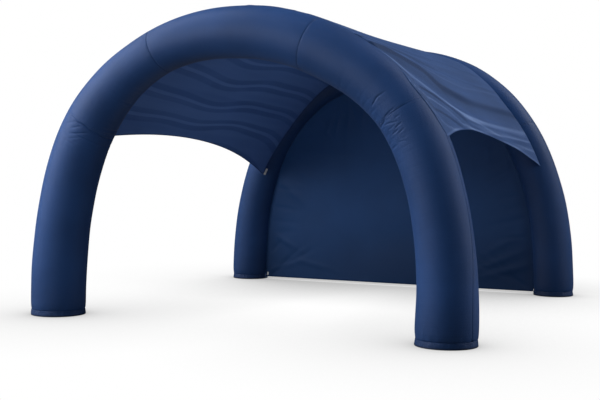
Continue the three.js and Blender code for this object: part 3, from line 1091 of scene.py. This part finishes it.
def add_tube(context, name, points, girth, run, material):
    """A closed tube from rings of points, with the places of its sides and rings in metres."""
    rings, sides = points.shape[:2]
    index = np.arange(rings * sides).reshape(rings, sides)
    after = np.roll(index, -1, axis=1)
    quads = np.stack([index[:-1], after[:-1], after[1:], index[1:]], -1).reshape(-1, 4)
    u, v = np.meshgrid(girth, run)
    uv = np.stack([u, v], -1)
    corners = np.stack([uv[:-1, :-1], uv[:-1, 1:], uv[1:, 1:], uv[1:, :-1]], 2).reshape(-1, 2)
    caps = [index[0][::-1].tolist(), index[-1].tolist()]
    corners = np.concatenate([corners, np.zeros((2 * sides, 2))])
    return add_mesh(context, name, points, quads.tolist() + caps, corners, material, 2)


def grid_normals(middle):
    """Directions across a grid of points."""
    return unit(np.cross(np.gradient(middle, axis=0), np.gradient(middle, axis=1)))


def border(grid):
    """The outermost entries of a grid, once round."""
    return np.concatenate([grid[:-1, 0], grid[-1, :-1], grid[:0:-1, -1], grid[0, :0:-1]])


def add_sheet(context, name, middle, thickness, uv, material):
    """A sheet of cloth from the grid of its middle, with its thickness and its edges."""
    rows, columns = middle.shape[:2]
    normal = grid_normals(middle)
    points = np.stack([middle + normal * thickness / 2, middle - normal * thickness / 2])
    top = np.arange(rows * columns).reshape(rows, columns)
    low = top + rows * columns

    def quads(grid):
        return np.stack([grid[:-1, :-1], grid[1:, :-1], grid[1:, 1:], grid[:-1, 1:]], -1).reshape(-1, 4)

    rim_top = border(top)
    rim_low = rim_top + rows * columns
    rim = np.stack([rim_top, rim_low, np.roll(rim_low, -1), np.roll(rim_top, -1)], -1)
    faces = np.concatenate([quads(top), quads(low)[:, ::-1], rim])
    flat = np.concatenate([uv.reshape(-1, 2)] * 2)
    piece = add_mesh(context, name, points, faces.tolist(), flat[faces].reshape(-1, 2), material, len(rim))
    side = piece.data.attributes.new("under", "FLOAT", "POINT")
    side.data.foreach_set("value", np.repeat([0.0, 1.0], rows * columns).astype(np.float32))
    return piece


class Sewing(Nodes):
    """A Geometry Nodes tree that sews along paths, with named inputs for its sizes."""

    def __init__(self, name, sizes):
        self.tree = bpy.data.node_groups.new(name, "GeometryNodeTree")
        self.tree.is_modifier = True
        face = self.tree.interface
        face.new_socket("Geometry", in_out="OUTPUT", socket_type="NodeSocketGeometry")
        kinds = {"Paths": "NodeSocketGeometry", **{s: "NodeSocketFloat" for s in sizes}}
        kinds["Material"] = "NodeSocketMaterial"
        self.keys = {
            key: face.new_socket(key, in_out="INPUT", socket_type=kind).identifier
            for key, kind in kinds.items()
        }
        self.given = self.add("NodeGroupInput").outputs

    def node(self, kind, settings=None, inputs=None):
        """Adds a node and returns its first output."""
        return self.add(kind, settings, inputs).outputs[0]

    def close(self, geometry):
        """Ends the tree with plain, smooth geometry in its material."""
        real = self.node("GeometryNodeRealizeInstances", None, {"Geometry": geometry})
        smooth = self.node("GeometryNodeSetShadeSmooth", None, {"Geometry": real})
        done = self.node(
            "GeometryNodeSetMaterial", None, {"Geometry": smooth, "Material": self.given["Material"]}
        )
        self.add("NodeGroupOutput", None, {"Geometry": done})

    def sew(self, context, name, paths, **values):
        """Sews along the paths and returns the result as a plain mesh object."""
        points = np.concatenate([p for p, _, _ in paths])
        faces = np.concatenate([f for _, f, _ in paths])
        edges, first = [], 0
        for path, _, closed in paths:
            run = np.arange(first, first + len(path))
            edges += list(zip(run[:-1].tolist(), run[1:].tolist()))
            if closed:
                edges.append((int(run[-1]), int(run[0])))
            first += len(path)
        mesh = bpy.data.meshes.new(name + "_path")
        mesh.from_pydata(points.tolist(), edges, [])
        mark = mesh.attributes.new("face", "FLOAT_VECTOR", "POINT")
        mark.data.foreach_set("vector", faces.astype(np.float32).ravel())
        piece = bpy.data.objects.new(name, mesh)
        context.scene.collection.objects.link(piece)
        modifier = piece.modifiers.new("sewing", "NODES")
        modifier.node_group = self.tree
        for key, value in values.items():
            modifier[self.keys[key]] = value
        sewn = bpy.data.meshes.new_from_object(piece.evaluated_get(context.evaluated_depsgraph_get()))
        piece.modifiers.remove(modifier)
        piece.data = sewn
        bpy.data.meshes.remove(mesh)
        sewn.name = name
        if not len(sewn.polygons):
            raise RuntimeError(f"{name} came out empty")
        return piece


def stitch_tree():
    """Stitches laid end to end along paths, each one flat on the cloth under it."""
    tree = Sewing("stitches", ("Pitch", "Length", "Thread"))
    curve = tree.node("GeometryNodeMeshToCurve", None, {"Mesh": tree.given["Paths"]})
    run = tree.node(
        "GeometryNodeResampleCurve", {"mode": "LENGTH"}, {"Curve": curve, "Length": tree.given["Pitch"]}
    )
    along = tree.node("GeometryNodeInputTangent")
    face = tree.node("GeometryNodeInputNamedAttribute", {"data_type": "FLOAT_VECTOR"}, {"Name": "face"})
    laid = tree.node("FunctionNodeAlignRotationToVector", {"axis": "X"}, {"Vector": along})
    turned = tree.node(
        "FunctionNodeAlignRotationToVector",
        {"axis": "Z", "pivot_axis": "X"},
        {"Rotation": laid, "Vector": face},
    )
    size = tree.node(
        "ShaderNodeCombineXYZ",
        None,
        {"X": tree.given["Length"], "Y": tree.given["Thread"], "Z": tree.given["Thread"]},
    )
    stitch = tree.node("GeometryNodeMeshUVSphere", None, {"Segments": 6, "Rings": 3, "Radius": 0.5})
    sewn = tree.node(
        "GeometryNodeInstanceOnPoints",
        None,
        {"Points": run, "Instance": stitch, "Rotation": turned, "Scale": size},
    )
    tree.close(sewn)
    return tree


def roll_tree():
    """A rolled edge that follows a path."""
    tree = Sewing("rolled_edge", ("Radius",))
    curve = tree.node("GeometryNodeMeshToCurve", None, {"Mesh": tree.given["Paths"]})
    circle = tree.node(
        "GeometryNodeCurvePrimitiveCircle",
        {"mode": "RADIUS"},
        {"Resolution": 8, "Radius": tree.given["Radius"]},
    )
    roll = tree.node(
        "GeometryNodeCurveToMesh", None, {"Curve": curve, "Profile Curve": circle, "Fill Caps": True}
    )
    tree.close(roll)
    return tree


def stitches(context, name, paths, slot):
    """A piece of stitching along paths."""
    sizes = context.scene.tent_sizes
    piece = stitch_tree().sew(
        context,
        name,
        paths,
        Pitch=sizes.stitch_pitch,
        Length=sizes.stitch_length,
        Thread=sizes.stitch_thread,
        Material=finish(context, "sewing_thread"),
    )
    return settle(piece, slot)


def rolled_edge(context, name, paths, slot, material):
    """A piece of rolled hem along paths."""
    sizes = context.scene.tent_sizes
    piece = roll_tree().sew(context, name, paths, Radius=sizes.hem_roll, Material=finish(context, material))
    return settle(piece, slot)


def settle(piece, slot, *nodes):
    """Fixes a piece to the tent, in the place of the solids it stands for."""
    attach(piece, BODY)
    if nodes:
        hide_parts(*nodes)
    return piece


def panel_places(arch, start, stop, fine_zones):
    """Places of a panel's rings, close together by its seams and in creased cloth."""
    run = arch.line.length
    near = np.array(SEAM_RINGS) / run
    places = [*(start + near), *(stop - near)]
    s = start + near[-1]
    while s < stop - near[-1]:
        places.append(s)
        fine = any(low < s < high for low, high in fine_zones)
        s += (FINE_SPACING if fine else RING_SPACING) / run
    return np.unique(np.round(places, 7))


class TENT_OT_arch_panels(bpy.types.Operator):
    """Makes the five air-filled panels of each arch and the stitching of their seams"""

    bl_idname = "tent.arch_panels"
    bl_label = "Arch panels"

    def execute(self, context):
        tent = Tent(context.scene.tent_sizes)
        for side, arch, sides, fine in (
            ("front", tent.front, FRONT_SIDES, FRONT_FINE_ZONES),
            ("rear", tent.rear, REAR_SIDES, ()),
        ):
            angle = np.arange(sides) * 2 * np.pi / sides
            girth = np.arange(sides + 1) * 2 * np.pi / sides * TUBE_RADIUS
            gap = SEAM_GAP / 2 / arch.line.length
            for number, name in enumerate(PANELS):
                start, stop = arch.seams[number] + gap, arch.seams[number + 1] - gap
                places = panel_places(arch, start, stop, fine)
                tuck = np.concatenate([SEAM_TUCK, np.zeros(len(places)), SEAM_TUCK[::-1]])
                places = np.concatenate([[start] * 2, places, [stop] * 2])
                points = arch.cloth(places[:, None], angle[None], -tuck[:, None])
                run = places * arch.line.length
                panel = add_tube(
                    context, f"{side}_{name}_panel", points, girth, run, finish(context, "tube_fabric")
                )
                settle(panel, "arch_cloth", f"{side}_{name}")
            self.sew(context, side, arch)
        return {"FINISHED"}

    def sew(self, context, side, arch):
        """Sews two rows of stitches beside each seam."""
        turn = np.linspace(0, 2 * np.pi, 160, endpoint=False)
        paths = []
        for seam in arch.seams[1:-1]:
            for offset in (-SEAM_STITCH_OFFSET, SEAM_STITCH_OFFSET):
                s = np.full_like(turn, seam + offset / arch.line.length)
                paths.append((arch.cloth(s, turn, STITCH_LIFT), arch.facing(s, turn), True))
        stitches(context, f"{side}_seam_stitches", paths, "arch_cloth")


class TENT_OT_foot_cuffs(bpy.types.Operator):
    """Makes the four foot cuffs and the stitching along their tops"""

    bl_idname = "tent.foot_cuffs"
    bl_label = "Foot cuffs"

    def execute(self, context):
        tent = Tent(context.scene.tent_sizes)
        outline = through(CUFF_OUTLINE)
        turn = np.arange(CUFF_SIDES) * 2 * np.pi / CUFF_SIDES
        girth = np.arange(CUFF_SIDES + 1) * 2 * np.pi / CUFF_SIDES * CUFF_RADIUS
        heights = np.array(CUFF_RINGS)
        paths = []
        for side, arch in (("front", tent.front), ("rear", tent.rear)):
            for hand in ("right", "left"):
                seed = CUFF_SEEDS[hand] + arch.seed
                points = self.cuff(arch, hand, heights, turn, outline, seed)
                run = heights if hand == "right" else -heights[::-1]
                cuff = add_tube(
                    context, f"{side}_{hand}_cuff", points, girth, run, finish(context, "tube_fabric")
                )
                settle(cuff, "arch_cloth", f"{side}_{hand}_foot")
                height = np.array([CUFF_STITCH_HEIGHT])
                row = self.cuff(arch, hand, height, turn, outline, seed, STITCH_LIFT)[0]
                paths.append((row, unit(row - row.mean(axis=0)), True))
        stitches(context, "cuff_stitches", paths, "arch_cloth")
        return {"FINISHED"}

    def cuff(self, arch, hand, heights, turn, outline, seed, lift=0.0):
        """Rings of a cuff, with light gathers under its seam."""
        h, angle = np.meshgrid(heights, turn, indexing="ij")
        around = np.stack([CUFF_RADIUS * np.cos(angle), CUFF_RADIUS * np.sin(angle), h * 0.4], -1)
        gather = np.clip(soft_noise(around, GATHER_LENGTH, seed), -1.5, 1.5)
        near = np.exp(-(((h - GATHER_HEIGHT) / GATHER_SPREAD) ** 2))
        slow = soft_noise(around, CUFF_UNEVEN_LENGTH, seed + 1)
        slack = GATHER_DEPTH * (1.5 + gather) * near + CUFF_UNEVENNESS * (1.2 + slow)
        swell = outline(h) - slack * np.clip(h / 0.01, 0, 1)
        s = h / arch.line.length
        centre, outward, radius = arch.ring(s if hand == "right" else 1 - s)
        reach = radius + swell + lift
        points = centre + outward * (reach * np.cos(angle))[..., None]
        points[..., 1] += reach * np.sin(angle)
        points[..., 2] = np.maximum(points[..., 2], 0.0)
        return points if hand == "right" else points[::-1]


class TENT_OT_closing_tapes(bpy.types.Operator):
    """Makes the tapes that close the tubes lengthwise, with their stitching"""

    bl_idname = "tent.closing_tapes"
    bl_label = "Closing tapes"

    def execute(self, context):
        sizes = context.scene.tent_sizes
        tent = Tent(sizes)
        gap = TAPE_END_GAP / tent.line.length
        leg = through(LEG_TAPE)
        runs = (
            ("front_right", tent.front, tent.front.seams[0] + gap, RIGHT_HEM["front"] + 3 * gap),
            ("front_left", tent.front, LEFT_HEM["front"] - 3 * gap, tent.front.seams[-1] - gap),
            ("rear", tent.rear, tent.rear.seams[0] + gap, tent.rear.seams[-1] - gap),
        )
        paths = []
        for name, arch, start, stop in runs:
            count = int((stop - start) * arch.line.length / TAPE_STEP)
            s = np.linspace(start, stop, count)
            middle = leg(np.minimum(s, 1 - s)) if arch is tent.front else np.full_like(s, REAR_TAPE)
            middle = np.radians(middle)
            half = sizes.tape_width / 2 / arch.radius(s)
            share = np.linspace(-1, 1, 9)
            angle = middle[None] + half[None] * share[:, None]
            lift = TAPE_LIFT - TAPE_EDGE_DROP * np.abs(share) ** 6
            points = arch.cloth(s[None], angle, lift[:, None])
            u, v = np.meshgrid(share * sizes.tape_width / 2, s * arch.line.length, indexing="ij")
            uv = np.stack([u, v], -1)
            tape = add_sheet(
                context, f"{name}_tape", points, TAPE_THICKNESS, uv, finish(context, "tube_fabric")
            )
            settle(tape, "arch_cloth")
            sheet_area(points)
            for stitched in (-TAPE_STITCHES, TAPE_STITCHES):
                angle = middle + half * stitched
                paths.append((arch.cloth(s, angle, TAPE_THICKNESS), arch.facing(s, angle), False))
        stitches(context, "tape_stitches", paths, "arch_cloth")
        return {"FINISHED"}


class TENT_OT_roof(bpy.types.Operator):
    """Makes the roof, its rolled hems and its stitching"""

    bl_idname = "tent.roof"
    bl_label = "Roof"

    def execute(self, context):
        sizes = context.scene.tent_sizes
        tent = Tent(sizes)
        right = np.linspace(RIGHT_HEM["front"], FINE_PLACE, 160)
        between = np.linspace(FINE_PLACE, 1 - FINE_PLACE, 62)[1:-1]
        left = np.linspace(1 - FINE_PLACE, LEFT_HEM["front"], 150)
        place = np.concatenate([right, between, left])
        even = np.linspace(0, 1, ROOF_ROWS)
        ends = 0.5 - 0.5 * np.cos(np.linspace(0, np.pi, ROOF_ROWS))
        row = np.concatenate([np.linspace(-1, 0, 7)[:-1], 0.35 * ends + 0.65 * even])
        middle = tent.roof(place[None], row[:, None])
        u, v = np.meshgrid((place - 0.5) * tent.line.length, row * ROOF_RUN)
        roof = add_sheet(
            context, "roof_sheet", middle, sizes.cloth, np.stack([u, v], -1), finish(context, "roof_fabric")
        )
        # Painted highlight and shade along the roof's folds and side hems, set on both layers of the sheet
        mark = roof.data.attributes.new("painted_fold_shading", "FLOAT", "POINT")
        mark.data.foreach_set("value", np.tile(tent.roof_fold_shading(place[None], row[:, None]).ravel(), 2))
        settle(roof, "roof_cloth", "roof")
        hems = self.hem_paths(tent, 0.0)
        roll = rolled_edge(context, "roof_hem_roll", hems, "roof_cloth", "roof_fabric")
        inner = ROOF_STITCH_INSET / tent.line.length
        paths = self.hem_paths(tent, inner) + self.edge_paths(tent, inner)
        sewn = stitches(context, "roof_stitches", paths, "roof_cloth")
        sheet_area(middle)
        return {"FINISHED"}

    def path(self, tent, place, row):
        """A path on the roof and the direction its cloth faces there."""
        middle = tent.roof(place, row)
        step = 1e-4
        across = tent.roof(place + step, row) - tent.roof(place - step, row)
        back = tent.roof(place, np.clip(row + step, -1, 1)) - tent.roof(place, np.clip(row - step, -1, 1))
        return middle, unit(np.cross(back, across)), False

    def hem_paths(self, tent, inset):
        """Paths along the two side hems, or so far in from them."""
        row = np.linspace(0.0, 1.0, 260)
        right = self.path(tent, np.full_like(row, RIGHT_HEM["front"] + inset), row)
        left = self.path(tent, np.full_like(row, LEFT_HEM["front"] - inset), row)
        return [right, left]

    def edge_paths(self, tent, inset):
        """Paths along the lap on the front arch and along the rear edge."""
        place = np.linspace(RIGHT_HEM["front"] + inset, LEFT_HEM["front"] - inset, 420)
        return [self.path(tent, place, np.full_like(place, row)) for row in SEWN_ROWS]


def sheet_area(middle):
    """Area of a sheet from the grid of its middle."""
    a = middle[1:, :-1] - middle[:-1, :-1]
    b = middle[:-1, 1:] - middle[:-1, :-1]
    c = middle[1:, :-1] - middle[1:, 1:]
    d = middle[:-1, 1:] - middle[1:, 1:]
    first = np.linalg.norm(np.cross(a, b), axis=-1).sum()
    return float(first + np.linalg.norm(np.cross(c, d), axis=-1).sum()) / 2


class TENT_OT_back_wall(bpy.types.Operator):
    """Makes the back wall, its rolled edge and its stitching"""

    bl_idname = "tent.back_wall"
    bl_label = "Back wall"

    def execute(self, context):
        sizes = context.scene.tent_sizes
        tent = Tent(sizes)
        low = sizes.wall_hem / tent.line.length
        s = low + (WALL_TOP - low) * np.linspace(0, 1, 192) ** 0.97
        across = np.linspace(0, 1, 245)
        middle = tent.wall(s[:, None], across[None])
        wall = add_sheet(
            context,
            "back_wall_sheet",
            middle,
            sizes.cloth,
            middle[..., [0, 2]].copy(),
            finish(context, "wall_fabric"),
        )
        settle(wall, "wall_cloth", "back_wall")
        rim, rim_face = border(middle), border(grid_normals(middle))
        inward = np.array(WALL_MIDDLE) - rim
        inward[:, 1] = 0.0
        edge = rim + unit(inward) * sizes.hem_roll
        edge[:, 2] = np.maximum(edge[:, 2], sizes.wall_hem + sizes.hem_roll)
        roll = rolled_edge(context, "wall_edge_roll", [(edge, rim_face, True)], "wall_cloth", "wall_fabric")
        seam = rim + unit(inward) * WALL_STITCH_INSET
        sewn = stitches(context, "wall_stitches", [(seam, rim_face, True)], "wall_cloth")
        sheet_area(middle)
        return {"FINISHED"}


class TENT_OT_webbing(bpy.types.Operator):
    """Makes the roof strap and the wall tie"""

    bl_idname = "tent.webbing"
    bl_label = "Webbing"

    def execute(self, context):
        sizes = context.scene.tent_sizes
        tent = Tent(sizes)
        along, across = np.linspace(-0.5, 0.5, 33), np.linspace(-0.5, 0.5, 9)
        x, y = np.meshgrid(along, across)
        s = LEFT_HEM["rear"] + (STRAP_SHARE * x - STRAP_SHIFT) * sizes.strap_length / tent.line.length
        turn = sizes.strap_width / tent.rear.radius(s)
        angle = np.radians(tent.rear_seat(s)) - turn * (STRAP_DROP + y)
        lift = sizes.webbing * (STRAP_LIFT + STRAP_SWELL * np.cos(2 * np.pi * x) ** 2)
        points = tent.rear.on_tube(s, angle, lift)[::-1]
        uv = np.stack([x * sizes.strap_length, y * sizes.strap_width], -1)[::-1]
        strap = add_sheet(
            context, "roof_strap_webbing", points, sizes.webbing * 0.9, uv, finish(context, "webbing_weave")
        )
        settle(strap, "webbing", "roof_strap")
        low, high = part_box("wall_tie")
        x, z = np.meshgrid(np.linspace(low.x, high.x, 9), np.linspace(low.z, high.z, 21))
        share = (z - low.z) / (high.z - low.z)
        y = (low.y + high.y) / 2 - 0.0012 * np.exp(-((share / 0.12) ** 2)) + 0.0004 * np.sin(9 * share)
        uv = np.stack([z, x], -1)
        points = np.stack([x, y, z], -1)[:, ::-1]
        tie = add_sheet(
            context, "wall_tie_webbing", points, sizes.webbing, uv, finish(context, "webbing_weave")
        )
        settle(tie, "webbing", "wall_tie")
        return {"FINISHED"}


class TENT_OT_stage(bpy.types.Operator):
    """Sets up the floor, the soft studio light and the camera"""

    bl_idname = "tent.stage"
    bl_label = "Stage"

    def execute(self, context):
        scene = context.scene
        scene.view_settings.view_transform = "Standard"
        corners = FLOOR_REACH * np.array([(-1.0, -1.0), (1.0, -1.0), (1.0, 1.0), (-1.0, 1.0)])
        points = np.column_stack([corners, np.full(4, FLOOR_LEVEL)])
        floor = add_mesh(context, "floor", points, [[0, 1, 2, 3]], corners, finish(context, "pale_floor"), 1)
        self.studio(scene)
        for light in STUDIO_LIGHTS:
            self.soft_light(scene, *light)
        for box in SOFT_BOXES:
            self.soft_box(scene, *box)
        caught = bpy.data.collections.new("wall_light")
        for name in ("back_wall_sheet", "wall_edge_roll", "wall_stitches"):
            caught.objects.link(bpy.data.objects[name])
        self.soft_box(scene, *WALL_BOX).light_linking.receiver_collection = caught
        self.camera(scene)
        return {"FINISHED"}

    def studio(self, scene):
        """White surroundings, which the camera sees brighter than they shine."""
        f = Finish(bpy.data.worlds.new("studio"))
        seen = f.node("ShaderNodeLightPath", None, None, "Is Camera Ray")
        dim = f.node("ShaderNodeBackground", None, {"Color": (1.0, 1.0, 1.0, 1.0), "Strength": 0.02})
        bright = f.node("ShaderNodeBackground", None, {"Color": (1.0, 1.0, 1.0, 1.0), "Strength": 1.0})
        surface = f.node("ShaderNodeMixShader", None, {0: seen, 1: dim, 2: bright})
        f.add("ShaderNodeOutputWorld", None, {"Surface": surface})
        scene.world = f.owner

    def soft_light(self, scene, name, azimuth, elevation, strength, gloss):
        """A broad, far soft light: azimuth 0 is behind the camera and 90 to its right."""
        lamp = bpy.data.lights.new(name, "SUN")
        lamp.angle, lamp.energy = SOFT_ANGLE, strength
        turn, tilt = math.radians(azimuth) + VIEW_YAW, math.radians(elevation)
        side, front = math.cos(tilt) * math.sin(turn), -math.cos(tilt) * math.cos(turn)
        light = bpy.data.objects.new(name, lamp)
        light.rotation_euler = Vector((side, front, math.sin(tilt))).to_track_quat("Z", "Y").to_euler()
        light.visible_glossy = gloss
        scene.collection.objects.link(light)

    def soft_box(self, scene, name, side, near, height, power, spread, gloss):
        """A soft box beside the tent, turned to face it."""
        lamp = bpy.data.lights.new(name, "AREA")
        lamp.shape, lamp.size = "SQUARE", BOX_SIZE
        lamp.energy, lamp.spread = power, math.radians(spread)
        level = Vector((math.cos(VIEW_YAW), math.sin(VIEW_YAW), 0.0))
        ahead = Vector((math.sin(VIEW_YAW), -math.cos(VIEW_YAW), 0.0))
        place = side * level + near * ahead + Vector((0.0, 0.0, height))
        aim = BOX_AIM_SHARE * (side * level + near * ahead) + Vector((0.0, 0.0, BOX_AIM_HEIGHT))
        light = bpy.data.objects.new(name, lamp)
        light.location = place
        light.rotation_euler = (place - aim).to_track_quat("Z", "Y").to_euler()
        light.visible_camera, light.visible_glossy = False, gloss
        scene.collection.objects.link(light)
        return light

    def camera(self, scene):
        """A camera at standing eye height, to the right of the entrance."""
        data = bpy.data.cameras.new("camera")
        data.sensor_width, data.lens = CAMERA_SENSOR, CAMERA_LENS
        data.clip_end = 300.0
        level = Vector((math.cos(VIEW_YAW), math.sin(VIEW_YAW), 0.0))
        into = Vector((-math.sin(VIEW_YAW), math.cos(VIEW_YAW), 0.0))
        ahead = math.cos(CAMERA_PITCH) * into - math.sin(CAMERA_PITCH) * Vector((0.0, 0.0, 1.0))
        above = level.cross(ahead)
        right = math.cos(CAMERA_ROLL) * level + math.sin(CAMERA_ROLL) * above
        up = math.cos(CAMERA_ROLL) * above - math.sin(CAMERA_ROLL) * level
        turn = Matrix((right, up, -ahead)).transposed().to_4x4()
        camera = bpy.data.objects.new("camera", data)
        camera.matrix_world = Matrix.Translation(CAMERA_PLACE) @ turn
        scene.collection.objects.link(camera)
        scene.camera = camera


STEPS = (
    TENT_OT_arch_panels,
    TENT_OT_foot_cuffs,
    TENT_OT_closing_tapes,
    TENT_OT_roof,
    TENT_OT_back_wall,
    TENT_OT_webbing,
    TENT_OT_stage,
)


class TENT_PT_panel(bpy.types.Panel):
    """Lists the tent's sizes, colours and steps"""

    bl_idname = "TENT_PT_panel"
    bl_label = "Inflatable tent"
    bl_space_type = "VIEW_3D"
    bl_region_type = "UI"
    bl_category = "Tent"

    def draw(self, context):
        for group in (context.scene.tent_sizes, context.scene.tent_colours):
            box = self.layout.box()
            for key in group.__annotations__:
                box.prop(group, key)
        for step in STEPS:
            self.layout.operator(step.bl_idname)


CLASSES = (TentSizes, TentColours, *STEPS, TENT_PT_panel)


def register():
    """Registers the tent's settings, steps and panel."""
    for made in CLASSES:
        bpy.utils.register_class(made)
    bpy.types.Scene.tent_sizes = bpy.props.PointerProperty(type=TentSizes)
    bpy.types.Scene.tent_colours = bpy.props.PointerProperty(type=TentColours)


def unregister():
    """Takes the tent's settings, steps and panel away again."""
    del bpy.types.Scene.tent_colours
    del bpy.types.Scene.tent_sizes
    for made in reversed(CLASSES):
        bpy.utils.unregister_class(made)


def main():
    """Builds the tent step by step."""
    register()
    bpy.ops.tent.arch_panels()
    bpy.ops.tent.foot_cuffs()
    bpy.ops.tent.closing_tapes()
    bpy.ops.tent.roof()
    bpy.ops.tent.back_wall()
    bpy.ops.tent.webbing()
    bpy.ops.tent.stage()


if __name__ == "__main__":
    main()
